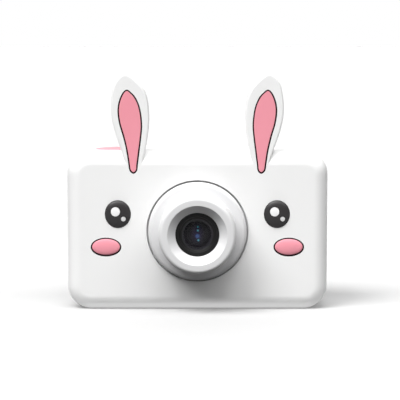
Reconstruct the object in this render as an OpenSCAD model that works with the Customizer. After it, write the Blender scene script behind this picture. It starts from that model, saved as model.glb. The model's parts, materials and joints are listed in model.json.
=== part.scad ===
// Kids digital camera: hard two-part housing in a soft silicone jacket with two ears.
// +Z is up, the lens looks along -Y, and the origin is the bottom centre of the whole object.
// Depths are measured back from the front face of the jacket.

/* [Body] */
// Width of the camera over its jacket
body_w = 100; // [98:1:125]
// Height of the jacket without the ears
body_h = 61; // [60:1:76]
// Depth of the jacket from its face to its rear lip
body_d = 30; // [29:1:38]
// Radius of the four corners, seen from the front
corner_r = 9; // [7:0.5:10]
// Rounding of the front edge
front_round = 5.5; // [4.5:0.5:6.5]
// Rounding of the rear edge
back_round = 4; // [3:0.5:5]

/* [Jacket] */
// Wall of the jacket
jacket_wall = 2.2; // [1.8:0.1:2.6]
// Thickness of the lip that holds the jacket on the rear housing
lip_t = 2; // [1.5:0.1:2.5]
// Width of that lip, from the outside of the jacket to its window
lip_w = 6.5; // [5.5:0.5:7.5]

/* [Ears] */
// Distance of each ear from the middle
ear_x = 25; // [22:0.5:28]
// Height of the ears above the body
ear_h = 29.4; // [20:0.2:36]
// Width unit of the ear outline
ear_w = 14.4; // [12:0.2:16]
// Thickness of the ears
ear_t = 5; // [4:0.2:6]

/* [Face] */
// Distance of each eye from the middle
eye_x = 30.4; // [28:0.2:34]
// Height of the eyes above the lens axis
eye_rise = 6.5; // [4:0.5:9]
// Half width of an eye
eye_a = 5; // [4:0.1:6]
// Half height of an eye
eye_b = 5.36; // [4:0.1:6]
// How far an eye stands proud of the face
eye_crown = 1.3; // [0.6:0.1:2]
// Radius of the large highlight in an eye
glint_r = 1.87; // [1.2:0.05:2.2]
// Radius of the small highlight in an eye
small_glint_r = 1; // [0.6:0.05:1.3]
// Distance of each cheek from the middle
cheek_x = 35; // [32:0.5:37]
// Depth of the cheeks below the lens axis
cheek_drop = 6.2; // [4:0.2:9]
// Half width of a cheek
cheek_a = 5.86; // [4:0.1:6.5]
// Half height of a cheek
cheek_b = 3.63; // [3:0.1:4.5]
// How far a cheek stands proud of the face
cheek_crown = 0.9; // [0.3:0.1:1.5]
// Depth of the pockets in the jacket for the pads and inlays
pocket_t = 1.4; // [1:0.1:1.6]
// Groove left round each pad and inlay
pad_gap = 0.35; // [0.2:0.05:0.5]

/* [Housing] */
// Wall of the hard housing
wall = 2; // [1.6:0.1:2.4]
// Rise of the rear panel, so that it fills the window of the jacket
panel_rise = 1.7; // [1.4:0.1:2]
// Distance of the split line from the back of the jacket
split_back = 12; // [11:0.5:12.5]
// Radius of the case screw bosses
boss_r = 3; // [2.6:0.1:3.2]
// Distance of the case screws from the sides of the housing
boss_in = 8; // [7.8:0.1:8.2]
// Distance of the case screws from the top and bottom of the housing
boss_up = 8.2; // [8:0.1:8.4]
// Radius of the case screw thread
screw_r = 1; // [0.8:0.1:1.2]
// Radius of the case screw head
screw_head_r = 1.9; // [1.6:0.1:2]

/* [Lens] */
// How far the barrel stands out of the face
lens_out = 15; // [13:0.5:20]
// Outer radius of the barrel
barrel_r = 14.6; // [13.8:0.1:17.6]
// Width of the flange step round the barrel
flange_step = 4.3; // [3.5:0.1:5]
// How far the flange stands out of the face
flange_out = 2.6; // [2:0.1:3.5]
// Width of the rim at the front of the barrel
front_rim = 3.35; // [2.5:0.05:4]
// Wall of the barrel
barrel_wall = 2.2; // [1.8:0.1:2.4]
// Depth of the cone inside the front of the barrel
cone_depth = 3.2; // [2:0.1:4]
// Outer radius of the black bezel
bezel_r = 8.3; // [7.6:0.1:8.8]
// Radius of the clear view through the bezel
view_r = 5.9; // [5:0.1:6.2]
// Thread radius of the lens cell
cell_r = 6; // [5.5:0.1:6.2]

/* [Buttons] */
// Radius of the shutter button
shutter_r = 8.3; // [6:0.1:9]
// Distance of the shutter button from the middle
shutter_x = 31.4; // [29:0.2:32]
// Travel of the shutter button
shutter_travel = 0.8; // [0.4:0.1:1]
// Radius of the power button
power_r = 4; // [3:0.1:5]
// Distance of the power button from the middle
power_x = 26; // [23:0.5:28]
// Travel of the power button
power_travel = 0.5; // [0.3:0.1:0.8]
// How far the top buttons stand out of the jacket
button_proud = 0.2; // [0:0.1:1]

/* [Rear keys] */
// Distance of the direction keys from the left side of the housing
pad_in = 22.2; // [21.9:0.1:22.4]
// Height of the direction keys above the lens axis
pad_rise = 2.5; // [1.5:0.5:3.5]
// Outer radius of the ring of direction keys
pad_r = 10.5; // [9.5:0.1:11]
// Inner radius of the ring of direction keys
pad_hole_r = 5.3; // [5:0.1:5.8]
// Radius of the OK key
ok_r = 4; // [3:0.1:4.2]
// Width of the menu and play keys
pill_w = 9; // [7:0.5:9.5]
// Height of the menu and play keys
pill_h = 5; // [4:0.2:5.6]
// Distance between the menu and play keys
pill_pitch = 11; // [10.5:0.5:12]
// Height of these two keys above the direction keys
pill_rise = 16; // [15:0.5:16.5]
// How far the keys stand out of the rear panel
key_proud = 1; // [0.6:0.1:1.4]
// Travel of every rear key
key_travel = 0.5; // [0.3:0.1:0.6]

/* [Screen] */
// Width of the clear window
window_w = 50; // [46:1:52]
// Height of the clear window
window_h = 38; // [35:1:41]
// Distance of the window from the right side of the housing
window_in = 8.7; // [8:0.1:9]
// Thickness of the window
window_t = 1; // [0.8:0.1:1.2]
// Border of the window that is glued to the panel
window_border = 3; // [2.5:0.5:4]
// Thickness of the display module
display_t = 2.6; // [2:0.1:2.8]

/* [Boards] */
// Thickness of the circuit boards
board_t = 1.2; // [1:0.1:1.6]
// Distance of the main board's back from the back of the jacket
board_back = 7.4; // [7.2:0.1:7.8]
// Distance of the main board's edge from the side of the housing
board_in = 5.5; // [5.3:0.1:6.5]
// Thickness of the battery
battery_t = 5.5; // [4:0.5:6]
// Width of the battery
battery_w = 20; // [14:1:20]
// Height of the battery
battery_h = 35; // [25:1:35]

/* [Side ports] */
// Length of the port door from its hinge to its top
door_l = 15.6; // [13:0.2:17]
// Width of the port door
door_w = 11.2; // [9:0.2:11.4]
// Thickness of the port door
door_t = 1.6; // [1.4:0.1:1.8]
// Radius of the door's knuckle
knuckle_r = 1.2; // [1.1:0.05:1.3]
// Radius of the door's pin
pin_r = 0.6; // [0.5:0.05:0.7]
// Height of the door's hinge above the bottom of the housing
hinge_up = 20.1; // [18:0.5:22]
// Height of the card slot above the lens axis
card_rise = 9.5; // [8:0.5:11]
// Radius of the lanyard bar
bar_r = 0.9; // [0.7:0.1:1]
// Height of the lanyard pocket
pocket_h = 10; // [8:0.5:10.5]
// Depth of the lanyard pocket in the side
pocket_deep = 3.7; // [3.5:0.1:4]

/* [Fits] */
// Gap between the jacket and the housing
jacket_gap = 0.1; // [0.05:0.05:0.2]
// Gap between the jacket and the lens flange
flange_gap = 0.4; // [0.3:0.05:0.5]
// Gap between a button and its hole in the housing
key_gap = 0.15; // [0.1:0.05:0.25]
// Gap between the shutter button and its hole in the jacket
soft_gap = 0.4; // [0.3:0.05:0.6]
// Running clearance of the door on its pin
pin_gap = 0.05; // [0.03:0.01:0.1]
// Gap round the port door, the memory card and the lens holder
slide_gap = 0.15; // [0.1:0.05:0.25]
// Gap round each eye in its pocket
seat_gap = 0.05; // [0.03:0.01:0.1]

/* [Hidden] */
$fn = 48;
WHITE = [0.95, 0.95, 0.94];
PINK = [0.93, 0.60, 0.66];
CHARCOAL = [0.13, 0.13, 0.14];
STEEL = [0.72, 0.73, 0.75];
GREEN = [0.10, 0.36, 0.24];
COPPER = [0.80, 0.52, 0.25];
GLASS = [0.30, 0.36, 0.48];
HULL_FN = 32;
WIRE_SIDES = 8;
EPS = 0.01;
CUT = 1;

// Depth of the rear key tops, and the place of the face that centres the object on the origin
rear_d = body_d - (jacket_gap + lip_t) + panel_rise + key_proud;
face_y = -(rear_d - lens_out) / 2;
lens_z = body_h / 2;

// Hard housing, outside and inside
shell = jacket_wall + jacket_gap;
hard_x = body_w / 2 - shell;
hard_z0 = shell;
hard_z1 = body_h - shell;
hard_d0 = shell;
hard_d1 = body_d - lip_t - jacket_gap;
in_x = hard_x - wall;
in_z0 = hard_z0 + wall;
in_z1 = hard_z1 - wall;
in_d0 = hard_d0 + wall;
in_d1 = hard_d1 - wall;
hard_r = corner_r - shell;
in_r = hard_r - wall;
in_rounds = [1, 0.5];
split_d = body_d - split_back;

// Rear panel
panel_gap = 0.1;
panel_x = body_w / 2 - lip_w - panel_gap;
panel_z0 = lip_w + panel_gap;
panel_z1 = body_h - lip_w - panel_gap;
panel_r = 4;
panel_d = hard_d1 + panel_rise;
panel_lap = 1;
well_in = 2;
well_d = panel_d - wall;
grille_ring = 3;
grille_r = 0.8;

// Screws
boss_x = hard_x - boss_in;
boss_z0 = hard_z0 + boss_up;
boss_z1 = hard_z1 - boss_up;
head_d = hard_d1 - 3.5;
head_t = 1.6;
case_screw_l = 17;
small_r = 0.8;
small_head_r = 1.6;
small_head_t = 1.2;
thread_end = 0.5;
slot_l = 2.2;
slot_w = 0.5;
slot_deep = 0.7;

// Lens
flange_r = barrel_r + flange_step;
opening_r = barrel_r - front_rim;
cavity_r = barrel_r - barrel_wall;
plate_t = 2;
cone_d = -lens_out + cone_depth;
plate_d = cone_d + plate_t;
edge_round = 1.5;
screw_ring = (cavity_r + flange_r) / 2;
barrel_angles = [90, 225, 315];
barrel_pilot = 1.4;
glass_t = 1;
glass_r = view_r + 0.9;
bezel_step = 0.2;
bezel_flange_t = 1.2;
sensor_d = 6;
holder_r = cell_r + 2.5;
holder_d0 = -2;
filter_t = 0.5;
holder_lip = 0.4;
filter_ledge = 1.4;
filter_lip_t = 0.5;
cell_head_r = cell_r + 0.4;
cell_head_t = 2.5;
cell_d1 = sensor_d - 2.6;
cell_bores = [cell_r - 0.8, cell_r - 1.4, cell_r - 1.8, cell_r - 2.4];
cell_front = plate_d + 2.2;
cell_rear = cell_d1 - 1.4;
cell_steps = [plate_d, cell_front, (cell_front + cell_rear) / 2, cell_rear];
element_t = 1.8;
element_crowns = [0.9, 0.6, 0.5];
sensor_w = 7;
sensor_t = 1;
sensor_post_x = 11.5;
sensor_post_r = 2.2;
sensor_board_w = 28;
sensor_board_h = 22;
sensor_board_r = 1.5;
sensor_ribbon_w = 8;
sensor_ribbon_t = 0.3;
sensor_ribbon_z = lens_z - 9;

// Main board, its posts and what is on it
board_d1 = body_d - board_back;
board_d0 = board_d1 - board_t;
board_x = hard_x - board_in;
board_z0 = in_z0 + 1.2;
board_z1 = in_z1 - 3.2;
display_ribbon_z = board_z0 + 2.7;
notch = 0.6;
notch_x = boss_x - boss_r - notch;
post_r = 2.2;
post_x = [-12, hard_x - 22.7];
post_z = [in_z0 + 5.4, in_z1 - 5.4];

// Screen
window_x1 = hard_x - window_in;
window_x0 = window_x1 - window_w;
window_z0 = lens_z - window_h / 2;
window_z1 = lens_z + window_h / 2;
window_r = 2.5;
window_fit = 0.1;
sight_r = 1;
gasket_t = 0.4;
gasket_in = 0.5;
module_margin = 1.5;
module_up = 1;
module_r = 0.8;
ribbon_t = 0.2;
display_ribbon_x = [10, 20];
connector_t = 1.2;

// Rear keys and their switches
pad_x = -hard_x + pad_in;
pad_z = lens_z + pad_rise;
key_mid_r = (pad_r + pad_hole_r) / 2;
key_half_angle = 38;
flange_half_angle = 41;
key_flange = 0.8;
key_flange_t = 1;
key_rest_gap = 0.1;
stem_r = 0.8;
switch_w = 4;
switch_t = 1.6;
stem_in = 0.3;
well_gap = 0.6;
switch_well = stem_in + key_travel + well_gap;
dir_keys = [[0, 1], [0, -1], [-1, 0], [1, 0]];
pill_z = pad_z + pill_rise;
key_places = [
    for (k = dir_keys) [pad_x + key_mid_r * k[0], pad_z + key_mid_r * k[1]],
    [pad_x, pad_z],
    [pad_x - pill_pitch / 2, pill_z],
    [pad_x + pill_pitch / 2, pill_z]
];

// Top buttons and their board
button_d = body_d / 2;
button_flange = 1;
button_flange_t = 1.4;
button_top = body_h + button_proud;
cap_round = 0.8;
cap_rise = 0.2;
button_board_z = in_z1 - 6.3;
button_board_d0 = button_d - 4;
button_board_d1 = button_d + 4;
button_board_x0 = -shutter_x - 5;
button_board_x1 = power_x + 5;
shelf_x = [-14, 8];
shelf_w = 4;
shelf_h = 4;
shelf_pilot = 3;
button_ribbon_x = [-5, 1];
button_ribbon_t = 0.15;
ribbon_lap = 2;
top_switch_w = 6;
top_switch_t = 2;
top_stem_r = 1.2;

// Battery, speaker and microphone
foam_t = 0.5;
battery_side_gap = 3;
battery_x0 = sensor_board_w / 2 + battery_side_gap;
battery_corner = 1.2;
foam_in = 1;
battery_d0 = in_d0 + foam_t;
speaker_r = 5.9;
speaker_t = 3.5;
speaker_rim = 1.2;
speaker_dish = 0.8;
mic_r = 2;
mic_t = 1.3;
speaker_x = pad_x;
speaker_z = panel_z0 + well_in + speaker_r + 0.3;

// Port door: hinge line, and the thicker wall that carries it
hinge_x = hard_x - 1.3;
hinge_z = hard_z0 + hinge_up;
door_mid = board_d0 - 1.4;
door_d0 = door_mid - door_w / 2;
door_d1 = door_mid + door_w / 2;
door_top = hinge_z + door_l;
frame_x = hard_x - 3.4;
frame_below = 3.4;
frame_above = 2;
frame_front = 3;
knuckle_room = 0.3;
grip_deep = 0.6;
grip_z = [1.6, 0.8];
grip_half = 3;
pin_in = 1.6;
port_z = hinge_z + 8;
port_w = 3.26;
port_d = board_d0 - port_w / 2;
port_h = 9;
port_x0 = board_x - 4.2;
port_x1 = hard_x - 2.4;
plug_w = 5.4;
plug_h = 11.4;
port_lip = 0.4;
port_back = 1;
tongue_half_h = 3;
tongue_half_t = 0.35;
hinge_swing = 1.9;

// Card and lanyard
card_z = lens_z + card_rise;
card_w = 11;
card_l = 15;
card_t = 0.7;
card_corner = 0.7;
card_gap = 0.05;
card_x0 = -hard_x + 1.3;
socket_x0 = -hard_x + 3.2;
socket_l = 14.5;
socket_w = 14;
socket_t = 1.5;
card_d = board_d0 - 0.85;
bar_x = -hard_x + 1.1;
bar_d = board_d1 + 0.4;
bar_z = lens_z - 7.5;
bar_in = 1.2;
pocket_half_d = 3;
pocket_wall = 1.4;

// How far the windows in the jacket reach past the door (below, above, in front, behind), the card and the pocket
door_room = [2.6, 1.2, 1, 0.4];
card_room = [9, 4];
pocket_room = 0.5;

// Places of the two highlights from the centre of an eye, and their seats in parts of its crown
glint_at = [-0.9, 1];
small_glint_at = [2.15, -1.8];
glint_seats = [0.75, 0.6];

// Chips on the front of the main board: limits along X, then in height from the lens axis, and thickness
CHIPS = [[3, 15, 2, 14, 1.4], [-14, -6, 3, 13, 1.2], [8, 14, -18, -12, 1]];

// Outline of an ear, outward and upward from the middle of its root, in units of ear_w and ear_h
EAR = [
    [0.20, -0.11], [0.31, 0.055], [0.455, 0.265], [0.54, 0.48], [0.525, 0.71], [0.41, 0.91],
    [0.16, 1.0], [-0.13, 0.91], [-0.37, 0.75], [-0.457, 0.525], [-0.447, 0.29], [-0.367, 0.03],
    [-0.31, -0.10], [-0.22, -0.22], [0.10, -0.22]
];
// Outline of the inlay in the ear, in the same units
INLAY = [
    [0.123, 0.80], [0.01, 0.765], [-0.12, 0.69], [-0.23, 0.55], [-0.28, 0.35], [-0.252, 0.17],
    [-0.21, 0.01], [-0.165, -0.16], [-0.14, -0.25], [-0.045, -0.29], [0.06, -0.25], [0.095, -0.15],
    [0.145, 0.01], [0.23, 0.19], [0.33, 0.36], [0.372, 0.52], [0.335, 0.65], [0.235, 0.76]
];
CURVE_STEPS = 4;
OVAL_STEPS = 36;

// Routes of the wires, along X, depth and Z
BATTERY_PLUG = [19.8, board_d0 - 2.4, in_z0 + 7.5];
BATTERY_START = [battery_x0 + 5, battery_d0 + battery_t / 2, lens_z - battery_h / 2];
BATTERY_ROUTE = [
    BATTERY_START, BATTERY_START - [0, 0, 1], BATTERY_START + [0, 0.8, -2.6], BATTERY_START + [-0.6, 3, -3.4],
    BATTERY_PLUG + [0.6, -5, -1.6], BATTERY_PLUG + [0, -2.5, -0.4], BATTERY_PLUG - [0, 1.4, 0], BATTERY_PLUG
];
SPEAKER_PLUG = [-17, board_d1 + 0.7, speaker_z - 3];
SPEAKER_START = [speaker_x + 4, well_d - speaker_t, speaker_z - 1.5];
SPEAKER_ROUTE = [
    SPEAKER_START, SPEAKER_START - [0, 0.3, 0], SPEAKER_START + [1.6, -0.8, -0.6], SPEAKER_PLUG - [2.6, 0, -0.6],
    SPEAKER_PLUG - [1, 0, 0], SPEAKER_PLUG
];
WIRE_PITCH = 1.2;
wire_r = 0.5;
speaker_wire_r = 0.35;

// ---------- Shape helpers ----------

// Straight solid behind a face outline, between two depths
module prism(d0, d1) {
    translate([0, face_y + d1, 0]) rotate([90, 0, 0]) linear_extrude(d1 - d0) children();
}

// Round bar along the depth
module rod(x, z, d0, d1, r) {
    translate([x, face_y + d1, z]) rotate([90, 0, 0]) cylinder(r = r, h = d1 - d0);
}

// Round bar along the height
module upright(x, d, z0, z1, r) {
    translate([x, face_y + d, z0]) cylinder(r = r, h = z1 - z0);
}

// Block between its limits
module block(x0, x1, z0, z1, d0, d1) {
    translate([x0, face_y + d0, z0]) cube([x1 - x0, d1 - d0, z1 - z0]);
}

// Points of a rectangle with round corners
function round_rect(x0, x1, z0, z1, r, n = 6) = [
    for (c = [[x1 - r, z1 - r, 0], [x0 + r, z1 - r, 90], [x0 + r, z0 + r, 180], [x1 - r, z0 + r, 270]])
        for (i = [0:n]) [c[0] + r * cos(c[2] + 90 * i / n), c[1] + r * sin(c[2] + 90 * i / n)]
];

// Plate with round corners between two depths
module plate(x0, x1, z0, z1, r, d0, d1) {
    prism(d0, d1) polygon(round_rect(x0, x1, z0, z1, r));
}

// Box with round corners whose front and rear edges are rounded too
module soft_box(x, z0, z1, d0, d1, r, front, back) {
    steps = 4;
    profile = [
        [0, -d0],
        for (i = [0:steps])
            [r - front + front * sin(90 * i / steps), -d0 - front + front * cos(90 * i / steps)],
        for (i = [0:steps]) [r - back + back * cos(90 * i / steps), -d1 + back - back * sin(90 * i / steps)],
        [0, -d1]
    ];
    hull() for (cx = [r - x, x - r], cz = [z0 + r, z1 - r])
        translate([cx, face_y, cz]) rotate([90, 0, 0]) rotate_extrude($fn = HULL_FN) polygon(profile);
}

// Solid of revolution about the lens axis, from points of radius and depth
module turned(points) {
    translate([0, face_y, lens_z]) rotate([90, 0, 0]) rotate_extrude()
        polygon([for (p = points) [p[0], -p[1]]]);
}

// Smooth closed curve through its control points
function knot(p0, p1, p2, p3, t) =
    (2 * p1 + (p2 - p0) * t + (2 * p0 - 5 * p1 + 4 * p2 - p3) * t * t
    + (3 * p1 - p0 - 3 * p2 + p3) * t * t * t) / 2;
function smooth(p, n = CURVE_STEPS) = let (m = len(p)) [
    for (i = [0:m - 1]) for (j = [0:n - 1])
        knot(p[(i + m - 1) % m], p[i], p[(i + 1) % m], p[(i + 2) % m], j / n)
];

// The same curve moved inward by a gap; the control points run against the clock seen from the front
function inward(p, gap) = let (m = len(p)) [
    for (i = [0:m - 1]) let (t = p[(i + 1) % m] - p[(i + m - 1) % m]) p[i] + gap * [-t[1], t[0]] / norm(t)
];
function ear_curve(points, side) = [
    for (p = smooth(points)) [side * (ear_x + ear_w * p[0]), body_h + ear_h * p[1]]
];
function ellipse(x, z, a, b) = [
    for (i = [0:OVAL_STEPS - 1]) [x + a * cos(360 * i / OVAL_STEPS), z + b * sin(360 * i / OVAL_STEPS)]
];

// Domed pad with an oval outline that fills its pocket and stands proud by its crown
module domed_pad(x, z, a, b, crown) {
    n = OVAL_STEPS;
    rings = 5;
    edge = 0.25;
    step = 82 / (rings - 1);
    rows = [
        [1, pocket_t],
        for (i = [0:rings - 1]) [cos(step * i), edge - (crown + edge) * sin(step * i)]
    ];
    points = [
        for (row = rows) for (i = [0:n - 1])
            [x + a * row[0] * cos(360 * i / n), face_y + row[1], z + b * row[0] * sin(360 * i / n)]
    ];
    top = rings * n;
    faces = [
        [for (i = [0:n - 1]) i],
        for (k = [0:rings - 1]) for (i = [0:n - 1])
            [k * n + i, (k + 1) * n + i, (k + 1) * n + (i + 1) % n, k * n + (i + 1) % n],
        [for (i = [n - 1:-1:0]) top + i]
    ];
    polyhedron(points, faces);
}

// Wire swept along its route of X, depth and Z; no stretch of it runs along the given direction
module wire(route, r, across) {
    m = len(route);
    points = [
        for (i = [0:m - 1])
            let (t = route[min(i + 1, m - 1)] - route[max(i - 1, 0)],
                dir = t / norm(t),
                side = cross(dir, across),
                u = side / norm(side),
                v = cross(dir, u))
            for (k = [0:WIRE_SIDES - 1])
                route[i] + [0, face_y, 0]
                + r * (u * cos(360 * k / WIRE_SIDES) + v * sin(360 * k / WIRE_SIDES))
    ];
    faces = [
        [for (k = [0:WIRE_SIDES - 1]) k],
        for (i = [0:m - 2]) for (k = [0:WIRE_SIDES - 1])
            [i * WIRE_SIDES + k, (i + 1) * WIRE_SIDES + k,
                (i + 1) * WIRE_SIDES + (k + 1) % WIRE_SIDES, i * WIRE_SIDES + (k + 1) % WIRE_SIDES],
        [for (k = [WIRE_SIDES - 1:-1:0]) (m - 1) * WIRE_SIDES + k]
    ];
    polyhedron(points, faces);
}

// Ribbon cable across X, from points of depth and height; its thickness is measured upward
module ribbon(x0, x1, points, t) {
    m = len(points);
    translate([x0, face_y, 0]) rotate([90, 0, 90]) linear_extrude(x1 - x0)
        polygon([
            for (p = points) p + [0, t / 2],
            for (i = [m - 1:-1:0]) points[i] - [0, t / 2]
        ]);
}

// Small machine screw along the depth: its head is in front of or behind the thread
module small_screw(x, z, head_at, thread_to) {
    top = head_at + (head_at > thread_to ? small_head_t : -small_head_t);
    rod(x, z, min(head_at, top), max(head_at, top), small_head_r);
    rod(x, z, min(head_at, thread_to), max(head_at, thread_to), small_r);
}

// ---------- Jacket and face ----------

module silicone_jacket() {
    color(WHITE) difference() {
        union() {
            soft_box(body_w / 2, 0, body_h, 0, body_d, corner_r, front_round, back_round);
            for (side = [-1, 1]) prism(0, ear_t) polygon(ear_curve(EAR, side));
        }
        soft_box(body_w / 2 - jacket_wall, jacket_wall, body_h - jacket_wall, jacket_wall, body_d - lip_t,
            corner_r - jacket_wall, front_round - jacket_wall, back_round - jacket_wall);
        plate(-body_w / 2 + lip_w, body_w / 2 - lip_w, lip_w, body_h - lip_w, panel_r, body_d - lip_t - EPS,
            body_d + CUT);
        rod(0, lens_z, -CUT, shell, flange_r + flange_gap);
        face_pockets();
        upright(-shutter_x, button_d, hard_z1, body_h + CUT, shutter_r + soft_gap);
        upright(power_x, button_d, hard_z1, body_h + CUT, power_r + soft_gap);
        block(hard_x, body_w / 2 + CUT, hinge_z - door_room[0], door_top + door_room[1], door_d0 - door_room[2],
            door_d1 + door_room[3]);
        block(-body_w / 2 - CUT, -hard_x, card_z - card_room[0], card_z + card_room[0], card_d - card_room[1],
            card_d + card_room[1]);
        block(-body_w / 2 - CUT, -hard_x, bar_z - pocket_h / 2 - pocket_room, bar_z + pocket_h / 2 + pocket_room,
            bar_d - pocket_half_d - pocket_room, bar_d + pocket_half_d + pocket_room);
    }
}

module face_pockets() {
    for (side = [-1, 1]) {
        prism(-CUT, pocket_t) polygon(ear_curve(INLAY, side));
        prism(-CUT, pocket_t) polygon(ellipse(side * eye_x, lens_z + eye_rise, eye_a, eye_b));
        prism(-CUT, pocket_t)
            polygon(ellipse(side * cheek_x, lens_z - cheek_drop, cheek_a, cheek_b));
    }
}

module ear_inlay(side) {
    curve = ear_curve(INLAY, side);
    color(PINK) prism(pad_gap / 2, pocket_t) polygon(inward(curve, side * pad_gap));
}
module ear_inlay_left() { ear_inlay(-1); }
module ear_inlay_right() { ear_inlay(1); }

module cheek_pad(side) {
    color(PINK)
        domed_pad(side * cheek_x, lens_z - cheek_drop, cheek_a - pad_gap, cheek_b - pad_gap, cheek_crown);
}
module cheek_pad_left() { cheek_pad(-1); }
module cheek_pad_right() { cheek_pad(1); }

// Places of the two highlights in an eye: X and Z from its centre, radius, and the depth of its seat
function glints() = [
    [each glint_at, glint_r, -glint_seats[0] * eye_crown],
    [each small_glint_at, small_glint_r, -glint_seats[1] * eye_crown]
];

module eye(side) {
    x = side * eye_x;
    z = lens_z + eye_rise;
    color(CHARCOAL) difference() {
        domed_pad(x, z, eye_a - seat_gap, eye_b - seat_gap, eye_crown);
        for (g = glints()) rod(x + g[0], z + g[1], -eye_crown - CUT, g[3], g[2]);
    }
}
module eye_left() { eye(-1); }
module eye_right() { eye(1); }

module eye_glints() {
    color("white") for (side = [-1, 1], g = glints())
        rod(side * eye_x + g[0], lens_z + eye_rise + g[1], -eye_crown, g[3], g[2]);
}

// ---------- Hard housing ----------

module hard_outside() {
    soft_box(hard_x, hard_z0, hard_z1, hard_d0, hard_d1, hard_r, front_round - shell, back_round - shell);
}

module hard_inside() {
    soft_box(in_x, in_z0, in_z1, in_d0, in_d1, in_r, in_rounds[0], in_rounds[1]);
}

// Holes through the top wall for the two buttons
module button_holes() {
    upright(-shutter_x, button_d, in_z1 - CUT, hard_z1 + CUT, shutter_r + key_gap);
    upright(power_x, button_d, in_z1 - CUT, hard_z1 + CUT, power_r + key_gap);
}

// Thicker wall round the port door, and what is cut out of it
module door_frame() {
    block(frame_x, hard_x - wall + EPS, hinge_z - frame_below, door_top + frame_above, door_d0 - frame_front,
        hard_d1 - wall + EPS);
}
module door_cuts() {
    block(hard_x - door_t - slide_gap, hard_x + CUT, hinge_z, door_top + slide_gap,
        door_d0 - slide_gap, door_d1 + slide_gap);
    rod(hinge_x, hinge_z, door_d0 - slide_gap, door_d1 + slide_gap, knuckle_r + knuckle_room);
    block(hinge_x, hard_x + CUT, hinge_z - hinge_swing, hinge_z, door_d0 - slide_gap, door_d1 + slide_gap);
    block(frame_x - CUT, hard_x, port_z - plug_h / 2, port_z + plug_h / 2,
        port_d - plug_w / 2, port_d + plug_w / 2);
    rod(hinge_x, hinge_z, door_d0 - pin_in, door_d1 + pin_in, pin_r);
}

module front_housing() {
    color(WHITE) difference() {
        union() {
            difference() {
                hard_outside();
                hard_inside();
            }
            for (x = [-boss_x, boss_x], z = [boss_z0, boss_z1])
                rod(x, z, in_d0 - EPS, split_d, boss_r);
            for (x = [-sensor_post_x, sensor_post_x])
                rod(x, lens_z, in_d0 - EPS, sensor_d, sensor_post_r);
            for (x = shelf_x)
                block(x - shelf_w / 2, x + shelf_w / 2, button_board_z - shelf_h, button_board_z, in_d0 - EPS,
                    split_d);
            door_frame();
        }
        block(-body_w, body_w, -body_h, 2 * body_h, split_d, 2 * body_d);
        rod(0, lens_z, 0, in_d0 + CUT, holder_r + slide_gap);
        for (a = barrel_angles)
            rod(screw_ring * cos(a), lens_z + screw_ring * sin(a), 0, in_d0 + CUT, small_r);
        for (x = [-boss_x, boss_x], z = [boss_z0, boss_z1])
            rod(x, z, head_d - case_screw_l, split_d + CUT, screw_r);
        for (x = [-sensor_post_x, sensor_post_x])
            rod(x, lens_z, hard_d0 + thread_end, sensor_d + CUT, small_r);
        for (x = shelf_x)
            upright(x, button_d, button_board_z - shelf_pilot, button_board_z + CUT, small_r);
        button_holes();
        door_cuts();
    }
}

module rear_housing() {
    color(WHITE) difference() {
        union() {
            difference() {
                union() {
                    hard_outside();
                    plate(-panel_x, panel_x, panel_z0, panel_z1, panel_r, hard_d1 - panel_lap, panel_d);
                }
                hard_inside();
                plate(-panel_x + well_in, panel_x - well_in, panel_z0 + well_in, panel_z1 - well_in,
                    panel_r - well_in, in_d1 - panel_lap, well_d);
            }
            for (x = [-boss_x, boss_x], z = [boss_z0, boss_z1])
                rod(x, z, split_d, well_d + EPS, boss_r);
            for (x = post_x, z = post_z) rod(x, z, board_d1, well_d + EPS, post_r);
            door_frame();
            block(-hard_x + wall - EPS, -hard_x + pocket_deep + pocket_wall,
                bar_z - pocket_h / 2 - pocket_wall, bar_z + pocket_h / 2 + pocket_wall,
                bar_d - pocket_half_d - pocket_wall, in_d1 + EPS);
        }
        block(-body_w, body_w, -body_h, 2 * body_h, -2 * body_d, split_d);
        for (x = [-boss_x, boss_x], z = [boss_z0, boss_z1]) {
            rod(x, z, split_d - CUT, head_d + CUT, screw_r + key_gap);
            rod(x, z, head_d, panel_d + CUT, screw_head_r + key_gap);
        }
        for (x = post_x, z = post_z) rod(x, z, board_d1 - CUT, panel_d - thread_end, small_r);
        button_holes();
        key_holes();
        plate(window_x0 - window_fit, window_x1 + window_fit, window_z0 - window_fit, window_z1 + window_fit,
            window_r, panel_d - window_t, panel_d + CUT);
        plate(window_x0 + window_border, window_x1 - window_border, window_z0 + window_border,
            window_z1 - window_border, sight_r, in_d1, panel_d);
        for (a = [0:60:300])
            rod(speaker_x + grille_ring * cos(a), speaker_z + grille_ring * sin(a), well_d - CUT, panel_d + CUT,
                grille_r);
        rod(speaker_x, speaker_z, well_d - CUT, panel_d + CUT, grille_r);
        door_cuts();
        block(-hard_x - CUT, -in_x + CUT, card_z - card_w / 2 - slide_gap, card_z + card_w / 2 + slide_gap,
            card_d - card_t / 2 - slide_gap, card_d + card_t / 2 + slide_gap);
        block(-hard_x - CUT, -hard_x + pocket_deep, bar_z - pocket_h / 2, bar_z + pocket_h / 2,
            bar_d - pocket_half_d, bar_d + pocket_half_d);
        upright(bar_x, bar_d, bar_z - pocket_h / 2 - bar_in, bar_z + pocket_h / 2 + bar_in, bar_r);
    }
}

module case_screws() {
    color(STEEL) for (x = [-boss_x, boss_x], z = [boss_z0, boss_z1]) difference() {
        union() {
            rod(x, z, head_d, head_d + head_t, screw_head_r);
            rod(x, z, head_d - case_screw_l, head_d, screw_r);
        }
        cross_slot(x, z, head_d + head_t);
    }
}

// Cross recess in the head of a screw
module cross_slot(x, z, d) {
    block(x - slot_l / 2, x + slot_l / 2, z - slot_w / 2, z + slot_w / 2, d - slot_deep, d + CUT);
    block(x - slot_w / 2, x + slot_w / 2, z - slot_l / 2, z + slot_l / 2, d - slot_deep, d + CUT);
}

// ---------- Lens ----------

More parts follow.
